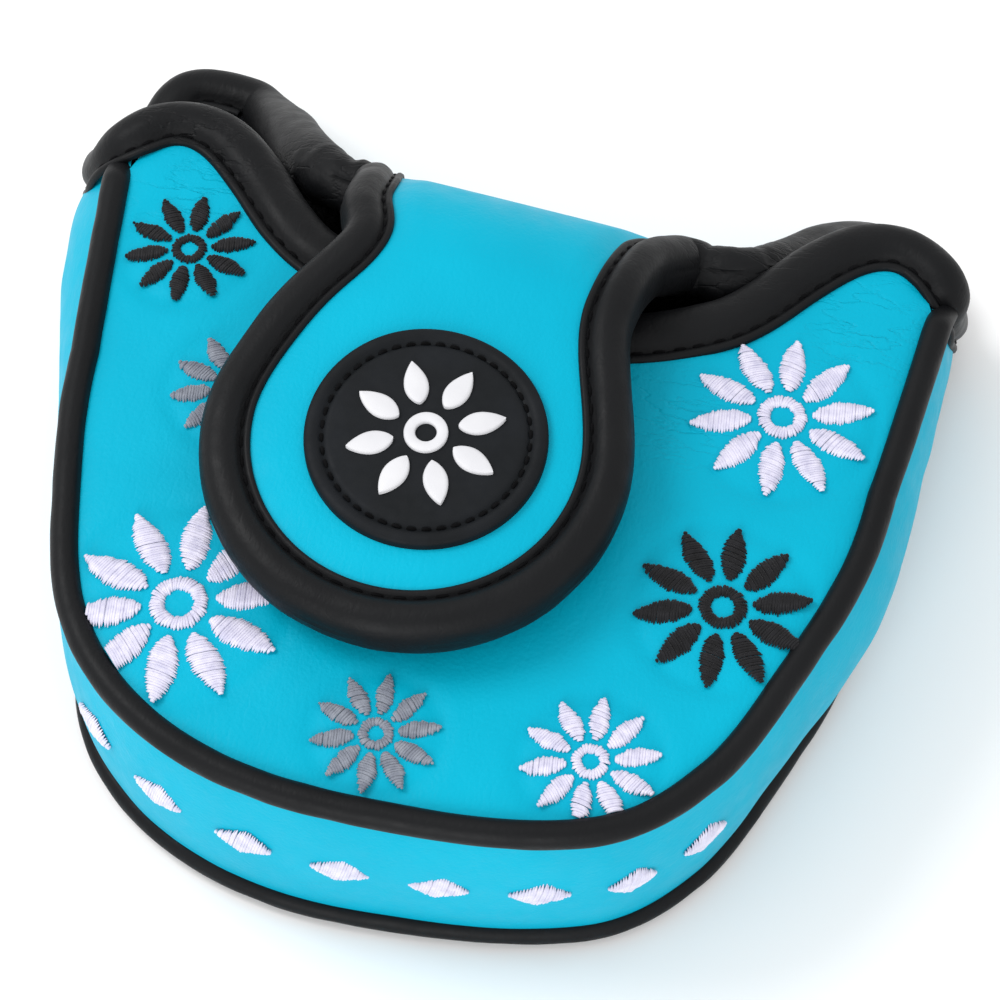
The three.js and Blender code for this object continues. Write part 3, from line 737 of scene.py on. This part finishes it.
def gusset():
    for suffix, depth, material, slot in LAYERS:
        fine = suffix == "skin"
        shares = np.linspace(0, 1, 34 if fine else 12)[:, None]
        reach = outline_length(gusset_end_y(shares) - GUSSET_HEEL_CUT * np.exp(-(shares / 0.1) ** 2))
        distance = np.linspace(-1, 1, 620 if fine else 160)[None] * reach
        place = points(distance, shares * 30, 0)
        waves = 0.4 * noise(place, 17) + 0.16 * noise(place * np.array([1, 0.35, 1]), 5)
        to_end = reach - np.abs(distance)
        swell = waves * (4 * shares * (1 - shares)) ** 0.7
        height = swell - END_SINK * np.exp(-(to_end / 5) ** 2) if fine else 0
        top = on_gusset(distance, shares, depth[0] - height)
        bottom = on_gusset(distance, shares, depth[1] - height)
        shell = shell_of_grid(top, bottom)
        add_panel(f"gusset_band_{suffix}", f"gusset_{suffix}", shell, material, "root", slot)


def bend(obj):
    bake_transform(obj)


def bend_neck(obj):
    bend(obj)


def bend_lobe(obj):
    bend(obj)


def roll_sink(length):
    """How deep the flap's rolled edge lies in the padding."""
    return NECK_SINK * smooth(length, 4, 13) + (LOBE_SINK - NECK_SINK) * smooth(length, 20, 36)


def flap_relief(x, length, edge_distance):
    place = points(x, length, 90.0)
    pillow = 0.9 * (1 - np.exp(-np.maximum(edge_distance - 3.2, 0) / 5.0))
    on_lobe = smooth(length, 6, 26)
    pressed = roll_sink(length) * (1 - smooth(edge_distance, 2.2, 7.5))
    return on_lobe * (pillow + 0.3 * noise(place, 16) * smooth(edge_distance, 3, 10)) - pressed


def flap_rows(first, last, step):
    if last > LOBE_LENGTH:
        straight = np.arange(first, LOBE_LENGTH, step)
        turn = np.linspace(0, math.pi / 2, int(LOBE_RADIUS / step * 1.5))
        return np.r_[straight, LOBE_LENGTH + LOBE_RADIUS * np.sin(turn)]
    return np.linspace(first, last, int((last - first) / step) + 1)


def foot_flare(length):
    """The neck's foot widens to meet the corners of the back panel under the ends of the rolled edges."""
    corner = BACK_EDGES[1][0][1] - LIFT_STATION
    rise = np.clip((length - FLAP_START) / (corner - FLAP_START), 0, 1)
    return FOOT_FLARE * rise * (1 - smooth(length, corner, corner + 1.5))


def flap_layer(rows, columns, depth, fine):
    rows = rows[:, None]
    share = np.linspace(-1, 1, columns)[None]
    x = flap_centre(rows) + share * np.maximum(flap_half_width(rows) + foot_flare(rows), 0.05)
    beside = flap_half_width(rows) * (1 - np.abs(share))
    to_centre = np.hypot(x - LOBE_SHIFT_X, np.maximum(rows - LOBE_LENGTH, 0))
    distance = np.where(rows > LOBE_LENGTH, LOBE_RADIUS - to_centre, beside)
    height = flap_relief(x, rows, distance) if fine else 0
    top = on_flap(x, rows, depth[0] - height)
    bottom = on_flap(x, rows, depth[1] - height)
    return shell_of_grid(top, bottom)


def flap():
    parts = [
        ("neck", FLAP_START, NECK_SPLIT, bend_neck),
        ("lobe", NECK_SPLIT, LOBE_LENGTH + LOBE_RADIUS, bend_lobe),
    ]
    for suffix, depth, material, slot in LAYERS:
        fine = suffix == "skin"
        step, columns = (0.6, 90) if fine else (1.5, 30)
        for part, first, last, attach in parts:
            shell = flap_layer(flap_rows(first, last, step), columns, depth, fine)
            add_panel(f"{part}_{suffix}", f"flap_{part}_{suffix}", shell, material, attach, slot)


# ---- rolled bindings and their stitches

BINDING_TOP = [
    (-3.9, 2.55), (-3.8, 3.2), (-3.4, 3.45), (-2.85, 3.35), (-2.35, 2.85), (-1.85, 3.2), (-1.2, 3.8),
    (0, 4.3), (1.3, 4.25), (2.5, 3.75), (3.4, 2.8), (3.9, 1.5), (4.05, 0),
]
POCKET_HALF = 2.8
POCKET_END = 0.4
STITCH_PITCH = 3.0
STITCH_LENGTH = 2.1
STITCH_LINE = (-2.35, 3.0)
TIGHTEST = 0.9
NARROWEST = 0.3
PATH_SOFTNESS = 9
FRONT_TRIM = 2
BACK_TRIM = 4
# How far each roll reaches towards its panel and away from it, against the section above.
FRONT_ROLL = (1.0, 1.33)
BACK_ROLL = (1.0, 1.1)
FLAP_ROLL = (0.84, 1.0)
CROTCH_ROLL = (0.95, 1.16)
FRONT_ROLL_ENDS = (46, 57)
# How far from a roll's end its creases lie, and the creases' own reach and depth.
CROTCH_REACH = 3
CROTCH_TAPER = 7
MOUTH_CREASE = (6, 0.35)
NECK_CREASE = (4, 0.4)
NECK_SINK = 1.0
LOBE_SINK = 0.2


def binding_section():
    upper = spaced(curve(BINDING_TOP, 8), count=30)
    lower = (upper * np.array([1, -1]))[-2::-1]
    mouth_x, mouth_half = BINDING_TOP[0][0], 0.9 * POCKET_HALF
    pocket = np.array([(mouth_x, mouth_half), (POCKET_END, POCKET_HALF)])
    return np.vstack([upper, lower, pocket * np.array([1, -1]), pocket[::-1]])


SECTION = binding_section()


def soften(values, reach):
    kernel = np.hanning(2 * reach + 3)[1:-1]
    padded = np.r_[np.full(reach, values[0]), values, np.full(reach, values[-1])]
    return np.convolve(padded, kernel / kernel.sum(), mode="valid")


def edge_frames(path, normals):
    direction = along(path)
    normal = unit(normals - (normals * direction).sum(axis=1, keepdims=True) * direction)
    outward = np.cross(normal, direction)
    return direction, normal, outward


def squeeze(path, direction, outward, roll):
    """How far the section may reach outward and inward without crossing itself in a tight bend."""
    run = run_of(path)
    bending = (np.gradient(direction, run, axis=0) * outward).sum(axis=1)
    reach = np.abs(SECTION[:, 0]).max()
    inner, outer = [
        np.minimum(np.maximum(TIGHTEST / np.maximum(turned * reach, 1e-6), NARROWEST), widest)
        for turned, widest in zip((-bending, bending), roll)
    ]
    return soften(outer, 4), soften(inner, 4)


def binding_mesh(path, normals, roll, creases=()):
    direction, normal, outward = edge_frames(path, normals)
    outer, inner = squeeze(path, direction, outward, roll)
    run = run_of(path)
    a = SECTION[None, :, 0] * np.where(SECTION[None, :, 0] > 0, outer[:, None], inner[:, None])
    h = np.broadcast_to(SECTION[None, :, 1], a.shape)
    verts = path[:, None] + a[..., None] * outward[:, None] + h[..., None] * normal[:, None]
    softness = smooth(SECTION[:, 0], -2.4, 0.5)[None] * (np.abs(SECTION[:, 1]) > 0)[None]
    swell = 0.16 * noise(verts + 50, 9) + 0.06 * noise(verts + 10, 3.2)
    for station, reach, depth in creases:
        nearness = np.exp(-((run - station) / reach) ** 2)[:, None]
        folds = noise(points(run[:, None], SECTION[None, :, 1] * 0.35, station), 1.5)
        swell = swell + depth * nearness * (folds - 0.15)
    swell = swell * softness
    outside = unit(SECTION * np.array([0.6, 1.0]))
    push = outside[None, :, :1] * outward[:, None] + outside[None, :, 1:] * normal[:, None]
    verts = verts + swell[..., None] * push
    return sweep(verts)


def stitch_mesh(path, normals, roll, face):
    """Stitches along the binding's stitch line, face 1 on its outer side and -1 on its inner side."""
    direction, normal, outward = edge_frames(path, normals)
    _, inner = squeeze(path, direction, outward, roll)
    across, above = STITCH_LINE
    seam = path + (across * inner)[:, None] * outward + face * above * normal
    run = run_of(seam)
    starts = np.arange(STITCH_PITCH / 2, run[-1] - STITCH_PITCH, STITCH_PITCH)
    share = np.linspace(0, 1, 7)
    jitter = np.random.default_rng(11).uniform(-0.12, 0.12, (len(starts), 1))
    at = starts[:, None] + jitter + STITCH_LENGTH * share[None]
    up = unit(sample(face * normal, run, at))
    arch = 0.3 * np.sin(math.pi * share) ** 0.6 - 0.24
    paths = sample(seam, run, at) + arch[None, :, None] * up
    return threads(paths, up, 0.27, 0.2)


def front_edge_path():
    edge = front_edge()
    return on_front(edge[:, 0], edge[:, 1], MID_DEPTH), np.tile([0, 0, 1.0], (len(edge), 1))


def edge_inside(sheet, edge, depth):
    """An edge at a depth inside its panel, and the way out of the panel's outer face."""
    outer, inner = sheet(edge[:, 0], edge[:, 1], 0.0), sheet(edge[:, 0], edge[:, 1], depth)
    return inner, unit(outer - inner)


def back_edge_path(side):
    return edge_inside(on_back, back_edge(side), MID_DEPTH)


def gusset_end_path(side):
    """From near the front corner down to near the back corner, at the middle of the gusset's thickness."""
    share = np.linspace(0.74, 0.1, 14)
    distance = side * outline_length(gusset_end_y(share))
    inner = on_gusset(distance, share, MID_DEPTH + END_SINK)
    return inner, np.tile([float(side), 0, 0], (len(share), 1))


def bridge(path, next_path):
    """A smooth step from one path's end to the next one's start, and how far along it each point is."""
    gap = np.linalg.norm(next_path[0] - path[-1])
    lead_out, lead_in = unit(path[-1] - path[-3]), unit(next_path[2] - next_path[0])
    t = np.linspace(0, 1, max(4, int(gap / 0.6)))[1:-1, None]
    h00, h10 = 2 * t ** 3 - 3 * t ** 2 + 1, t ** 3 - 2 * t ** 2 + t
    h01, h11 = -2 * t ** 3 + 3 * t ** 2, t ** 3 - t ** 2
    return h00 * path[-1] + h10 * gap * lead_out + h01 * next_path[0] + h11 * gap * lead_in, t


def mouth_path():
    """Once round the mouth: left back ear, gusset end, front edge, gusset end, right back ear."""
    front, front_normal = front_edge_path()
    left_back, left_back_normal = back_edge_path(-1)
    right_back, right_back_normal = back_edge_path(1)
    left_end, left_end_normal = gusset_end_path(-1)
    right_end, right_end_normal = gusset_end_path(1)
    runs = [
        (left_back[:-BACK_TRIM], left_back_normal[:-BACK_TRIM]),
        (left_end[::-1], left_end_normal[::-1]),
        (front[FRONT_TRIM:-FRONT_TRIM], front_normal[FRONT_TRIM:-FRONT_TRIM]),
        (right_end, right_end_normal),
        (right_back[:-BACK_TRIM][::-1], right_back_normal[:-BACK_TRIM][::-1]),
    ]
    path, normals = runs[0]
    for next_path, next_normals in runs[1:]:
        step, share = bridge(path, next_path)
        between = unit((1 - share) * normals[-1] + share * next_normals[0])
        path = np.vstack([path, step, next_path])
        normals = np.vstack([normals, between, next_normals])
    both = spaced(np.hstack([path, normals]), count=900)
    both = np.stack([soften(column, PATH_SOFTNESS) for column in both.T], axis=1)
    return both[:, :3], unit(both[:, 3:])


def neck_path(side):
    """From the crotch up the side of the flap to where the lobe's binding starts."""
    lengths = np.linspace(NECK_FOOT, NECK_SPLIT, 16)
    edge = flap_edge(side, lengths)
    on_side = np.stack([edge[:, 0], LIFT_STATION + edge[:, 1]], axis=1)
    foot = [(side * x, s) for x, s in (*BACK_EDGES[side][1::-1], CROTCH_TURN)]
    both = spaced(curve([*foot, *on_side[::5]]), step=0.4)
    return edge_inside(on_back, both, MID_DEPTH + roll_sink(both[:, 1] - LIFT_STATION))


def lobe_path():
    """Up the left side of the flap, round the lobe and down the right side."""
    lengths = np.linspace(NECK_SPLIT, LOBE_LENGTH, 120)
    left, right = flap_edge(-1, lengths), flap_edge(1, lengths[::-1])
    turn = np.linspace(math.pi, 0, 140)[1:-1]
    end = points(LOBE_SHIFT_X + LOBE_RADIUS * np.cos(turn), LOBE_LENGTH + LOBE_RADIUS * np.sin(turn))
    edge = spaced(np.vstack([left, end, right]), step=0.45)
    return edge_inside(on_flap, edge, MID_DEPTH + roll_sink(edge[:, 1]))


def sew(name, path, normals, roll, attach):
    for face, side_name in ((1, "outer"), (-1, "inner")):
        stitches = stitch_mesh(path, normals, roll, face)
        add_mesh(f"{name}_stitches_{side_name}", *stitches, SEWING, attach, "black_thread")


def bound_edge(name, path, normals, roll, attach, nodes, creases=()):
    roll_mesh = binding_mesh(path, normals, roll, creases)
    add_mesh(name, *roll_mesh, BLACK, attach, "binding_leather", nodes, ROLL_FILL)
    sew(name, path, normals, roll, attach)


def bindings():
    path, normals = mouth_path()
    run = run_of(path)[-1]
    nodes = ["front_mouth_binding", "back_ear_binding_left", "back_ear_binding_right",
             "gusset_end_binding_left", "gusset_end_binding_right"]
    creases = [(place, *MOUTH_CREASE) for place in (CROTCH_REACH, run - CROTCH_REACH)]
    facing_up = smooth(normals[:, 2], 0.2, 0.8)
    on_front_side = facing_up * (1 - smooth(np.abs(path[:, 0]), *FRONT_ROLL_ENDS))
    roll = [back + (front - back) * on_front_side for back, front in zip(BACK_ROLL, FRONT_ROLL)]
    station = np.linspace(0, run, len(path))
    at_crotch = 1 - smooth(np.minimum(station, run - station), 0, CROTCH_TAPER)
    roll = [wide + (narrow - wide) * at_crotch for wide, narrow in zip(roll, CROTCH_ROLL)]
    bound_edge("mouth_binding", path, normals, roll, "root", nodes, creases)
    for side, name in ((-1, "neck_binding_left"), (1, "neck_binding_right")):
        path, normals = neck_path(side)
        crotch_end = 1 if side > 0 else run_of(path)[-1] - 1
        creases = [(crotch_end, *NECK_CREASE)]
        bound_edge(f"{name}_roll", path[::side], normals[::side], FLAP_ROLL, bend_neck, [name], creases)
    path, normals = lobe_path()
    bound_edge("lobe_binding_roll", path[::-1], normals[::-1], FLAP_ROLL, bend_lobe, ["lobe_binding"])


# ---- pipings

def piping(name, node, radius, z, end_y, dive, inset):
    """A cord round the outline. Its ends dive under the mouth's binding."""
    reach = outline_length(end_y)
    distance = np.linspace(-reach, reach, 560)
    plan = outline(distance, -inset(distance))
    wander = 0.12 * noise(points(distance, 7.0, z), 14)
    drop = dive * smooth(plan[:, 1], end_y - DIVE_LENGTH, end_y)
    path = points(plan[:, 0], plan[:, 1], z + wander - drop)
    direction = along(path)
    out = unit(np.cross(direction, points(0, 0, 1.0)))
    turn = np.linspace(0, 2 * math.pi, 24, endpoint=False)
    reach_at = radius * (1 + 0.035 * noise(points(distance[:, None], turn[None] * 2, 3.0), 4))
    rings = path[:, None] + reach_at[..., None] * (
        np.cos(turn)[None, :, None] * out[:, None] + np.sin(turn)[None, :, None] * np.array([0, 0, 1.0]))
    add_mesh(name, *sweep(rings), BLACK, "root", "binding_leather", [node])


# ---- embroidery, patch and emblem

STITCH_STEP = 0.38
SATIN_SLANT = 0.22
ROSETTE_PETALS = 10
PETAL_HALF_WIDTH = 0.15
EYE_RING = (0.2, 0.07)
SEAM_ROOM = 1.9
SATIN_RISE = (0.35, 0.62)
SATIN_FULL_HALF = 1.2
SATIN_TUCK = 0.12


def petal_stroke(angle, first, last, widest):
    share = np.linspace(0, 1, 60)
    along_petal = first + (last - first) * share
    half = widest * np.sin(math.pi * share ** 0.85) ** 0.75
    line = points(along_petal * math.cos(angle), along_petal * math.sin(angle))
    return line, np.maximum(half, 0.02 * widest)


def ring_stroke(radius, half):
    turn = np.linspace(0, 2 * math.pi, 120)
    line = points(radius * np.cos(turn), radius * np.sin(turn))
    return line, np.full(len(turn), half)


def rosette(petals, first=0.34, last=1.0):
    """A daisy of radius 1: lens-shaped petals round a ring."""
    turns = (2 * np.arange(petals) + 1) * math.pi / petals
    strokes = [petal_stroke(turn, first, last, PETAL_HALF_WIDTH) for turn in turns]
    return strokes + [ring_stroke(*EYE_RING)]


def inside_seam(place):
    x, y = np.abs(place[..., 0]), place[..., 1]
    across = x / (HALF_WIDTH - SEAM_ROOM)
    forward = np.maximum(0, WIDEST_Y - y) / (NOSE_REACH - SEAM_ROOM)
    in_nose = across ** NOSE_POWER + forward ** NOSE_POWER < 1
    return np.where(y < WIDEST_Y, in_nose, x < side_width(y) - SEAM_ROOM)


def satin_threads(strokes, sheet, rng, allowed=None):
    """Stitches side by side across each stroke, with slightly ragged ends, tucked into the surface."""
    middles, directions, halves = [], [], []
    for line, half in strokes:
        run = run_of(line)
        at = np.arange(STITCH_STEP / 2, run[-1], STITCH_STEP)
        middle = sample(line, run, at)
        heading = unit(np.gradient(middle, axis=0))
        across = points(-heading[:, 1], heading[:, 0]) + SATIN_SLANT * heading
        middles.append(middle)
        directions.append(unit(across))
        halves.append(np.interp(at, run, half))
    middle, across, half = np.vstack(middles), np.vstack(directions), np.hstack(halves)
    ragged = rng.uniform(-0.14, 0.2, (2, len(half)))
    share = np.linspace(-1, 1, 9)
    reach = half[:, None] + np.where(share[None] < 0, ragged[0][:, None], ragged[1][:, None])
    drift = rng.uniform(-0.08, 0.08, (len(half), 1))
    place = middle[:, None] + (share[None] * reach)[..., None] * across[:, None]
    place = place + drift[..., None] * points(across[:, 1], -across[:, 0])[:, None]
    if allowed is not None:
        kept = allowed(place[:, 4])
        place, half = place[kept], half[kept]
        ok = allowed(place)
        anchor = place[:, 4:5]
        for _ in range(12):
            place = np.where(ok[..., None], place, anchor + 0.86 * (place - anchor))
            ok = allowed(place)
    rise = np.interp(half, (0, SATIN_FULL_HALF), SATIN_RISE)
    arch = (1 - share ** 4)[None] * rise[:, None] - SATIN_TUCK
    arch = arch + rng.uniform(-0.04, 0.05, (len(place), 1))
    low = sheet(place[..., 0], place[..., 1], 0.0)
    high = sheet(place[..., 0], place[..., 1], -1.0)
    ups = unit(high - low)
    return threads(low + arch[..., None] * ups, ups, 0.24, 0.2)


def front_skin_surface(x, y, depth):
    grid = points(x, y)
    place = np.concatenate([grid, np.zeros_like(grid[..., :1])], axis=-1)
    return on_front(x, y, depth - PUFF["height"] * noise(place, PUFF["size"]))


def embroider(node, color, strokes, sheet, allowed=None):
    rng = np.random.default_rng(sum(map(ord, f"{node}_stitches")))
    stitches = satin_threads(strokes, sheet, rng, allowed)
    add_mesh(f"{node}_stitches", *stitches, THREADS[color], "root", f"{color}_thread", [node])


def motifs():
    for name, color, x, y, radius in MOTIFS:
        daisy = rosette(ROSETTE_PETALS)
        strokes = [(line * radius + np.array([x, y]), half * radius) for line, half in daisy]
        embroider(name, color, strokes, front_skin_surface, inside_seam)


MARK_COUNT = 8
MARK_REACH = 0.36
MARK_HALF_WIDTH = 4.2
MARK_HALF_HEIGHT = 3.7
MARK_SHARE = 0.5


def gusset_marks():
    wall = GUSSET_TOP_Z - GUSSET_BOTTOM_Z
    full = outline_length(GUSSET_END_TOP[0])
    sheet = lambda distance, height, depth: on_gusset(distance, height / wall, depth)
    for i, place in enumerate(np.linspace(-MARK_REACH, MARK_REACH, MARK_COUNT) * full):
        share = np.linspace(-1, 1, 60)
        line = points(place + MARK_HALF_WIDTH * share, MARK_SHARE * wall)
        half = MARK_HALF_HEIGHT * (1 - np.abs(share)) ** 0.9
        embroider(f"gusset_mark_{i + 1}", "white", [(line, half)], sheet)


PATCH_X = -5.9
# Radius and height of the patch's top, from its middle over the stitched groove to its rim.
PATCH_PROFILE = [
    (0.02, 1.35), (9, 1.35), (13.4, 1.35), (14.0, 1.2), (14.5, 0.85), (15.0, 1.2), (15.5, 1.5), (16.2, 1.55),
    (16.8, 1.3), (17.0, 0.8), (17.0, -0.15),
]
PATCH_GROOVE = 14.5
EMBLEM_PETALS = 8
EMBLEM_RADIUS = 11.5
EMBLEM_BASE = 1.2
EMBLEM_RISE = 0.8
PATCH_STITCHES = 44


def lobe_surface(x, length, depth):
    """The flap's leather as flap_layer() leaves it at the lobe."""
    to_centre = np.hypot(x - LOBE_SHIFT_X, length - LOBE_LENGTH)
    return on_flap(x, length, depth - flap_relief(x, length, LOBE_RADIUS - to_centre))


def patch():
    profile = spaced(curve(PATCH_PROFILE, 8), count=60)
    turn = np.linspace(0, 2 * math.pi, 180, endpoint=False)
    x = PATCH_X + profile[:, :1] * np.cos(turn)
    length = LOBE_LENGTH + profile[:, :1] * np.sin(turn)
    top = lobe_surface(x, length, -np.broadcast_to(profile[:, 1:], x.shape))
    bottom = lobe_surface(x, length, np.full(x.shape, 0.2))
    verts, faces = shell_of_rings(top, bottom)
    add_mesh("round_patch", verts, faces, PATCH_RUBBER, "flap_lobe", "patch_rubber", ["patch_base"])

    step = 2 * math.pi / PATCH_STITCHES
    sweep_turn = (np.arange(PATCH_STITCHES) * step)[:, None] + np.linspace(0.12, 0.82, 7)[None] * step
    arch = 0.85 + 0.3 * np.sin(math.pi * np.linspace(0, 1, 7)) ** 0.6
    x = PATCH_X + PATCH_GROOVE * np.cos(sweep_turn)
    length = LOBE_LENGTH + PATCH_GROOVE * np.sin(sweep_turn)
    paths = lobe_surface(x, length, -np.broadcast_to(arch, x.shape))
    ups = unit(lobe_surface(x, length, -2.0) - lobe_surface(x, length, -1.0))
    add_mesh("round_patch_stitches", *threads(paths, ups, 0.26, 0.2), SEWING, "flap_lobe", "black_thread")


def ridge(line, half, sheet):
    """A raised stroke of moulded rubber with rounded shoulders, closed where its line is."""
    loop = np.allclose(line[0], line[-1])
    shoulder = [(1, 0), (1, 0.55), (0.9, 0.85), (0.66, 1)]
    section = np.array([(-x, height) for x, height in shoulder] + shoulder[::-1])
    heading = along(line[:-1], closed=True) if loop else along(line)
    centre = line[:-1] if loop else line
    width = half[:-1] if loop else half
    across = points(-heading[:, 1], heading[:, 0])
    place = centre[:, None] + (section[None, :, :1] * width[:, None, None]) * across[:, None]
    height = EMBLEM_BASE + EMBLEM_RISE * np.broadcast_to(section[None, :, 1], place.shape[:2])
    return sweep(sheet(place[..., 0], place[..., 1], -height), closed=loop)


def emblem():
    centre = np.array([PATCH_X, LOBE_LENGTH])
    parts = []
    for line, half in rosette(EMBLEM_PETALS, first=0.4, last=0.98):
        parts.append(ridge(line * EMBLEM_RADIUS + centre, half * EMBLEM_RADIUS, lobe_surface))
    whole = join(parts)
    add_mesh("round_patch_emblem", *whole, EMBLEM_RUBBER, "flap_lobe", "emblem_rubber", ["patch_emblem"])


def magnets():
    for side in ("left", "right"):
        for place in ("flap", "front"):
            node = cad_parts[f"{place}_magnet_{side}"]
            node.data.materials.clear()
            node.data.materials.append(NICKEL)


# ---- floor, light and camera

FLOOR_REACH = 3000
CAMERA = {"azimuth": 12, "elevation": 60, "distance": 700, "target": (2.5, -4.25, 20), "lens": 173.9}


def stage():
    corners = [(x * FLOOR_REACH, y * FLOOR_REACH, 0) for x, y in ((-1, -1), (1, -1), (1, 1), (-1, 1))]
    floor = Look("white_floor", (0.93, 0.93, 0.93, 1), 0.8, Specular_IOR_Level=0.1)
    floor.tint(floor.noise(60), (0.95, 0.95, 0.95, 1))
    obj = add_mesh("floor", corners, [[0, 1, 2, 3]], floor.material)


def area_light(name, place, aim, size, power):
    data = bpy.data.lights.new(name, "AREA")
    data.shape = "DISK"
    data.size = size * MM
    data.energy = power
    obj = bpy.data.objects.new(name, data)
    bpy.context.scene.collection.objects.link(obj)
    obj.location = Vector(place) * MM
    obj.rotation_euler = (Vector(aim) - Vector(place)).to_track_quat("-Z", "Y").to_euler()


def lights():
    world = bpy.data.worlds.new("white_studio")
    world.use_nodes = True
    world.node_tree.nodes["Background"].inputs["Color"].default_value = (1, 1, 1, 1)
    world.node_tree.nodes["Background"].inputs["Strength"].default_value = 0.98
    bpy.context.scene.world = world
    area_light("key", (-520, 60, 760), (0, 0, 20), 420, 3.4)
    area_light("front", (-60, -900, 330), (0, -40, 20), 600, 3.4)
    bpy.context.scene.view_settings.view_transform = "Standard"


def camera():
    data = bpy.data.cameras.new("camera")
    data.lens = CAMERA["lens"]
    data.sensor_width = 36
    data.clip_end = 20
    obj = bpy.data.objects.new("camera", data)
    bpy.context.scene.collection.objects.link(obj)
    turn, lift = math.radians(CAMERA["azimuth"]), math.radians(CAMERA["elevation"])
    back = Vector((math.sin(turn) * math.cos(lift), -math.cos(turn) * math.cos(lift), math.sin(lift)))
    obj.location = (Vector(CAMERA["target"]) + CAMERA["distance"] * back) * MM
    obj.rotation_euler = back.to_track_quat("Z", "Y").to_euler()
    bpy.context.scene.camera = obj


camera()
stage()
lights()
front_panel()
back_panel()
gusset()
flap()
bindings()
piping("front_piping_cord", "front_piping", **FRONT_PIPING, inset=np.zeros_like)
piping("base_piping_cord", "base_piping", **BASE_PIPING, inset=base_inset)
motifs()
gusset_marks()
patch()
emblem()
magnets()
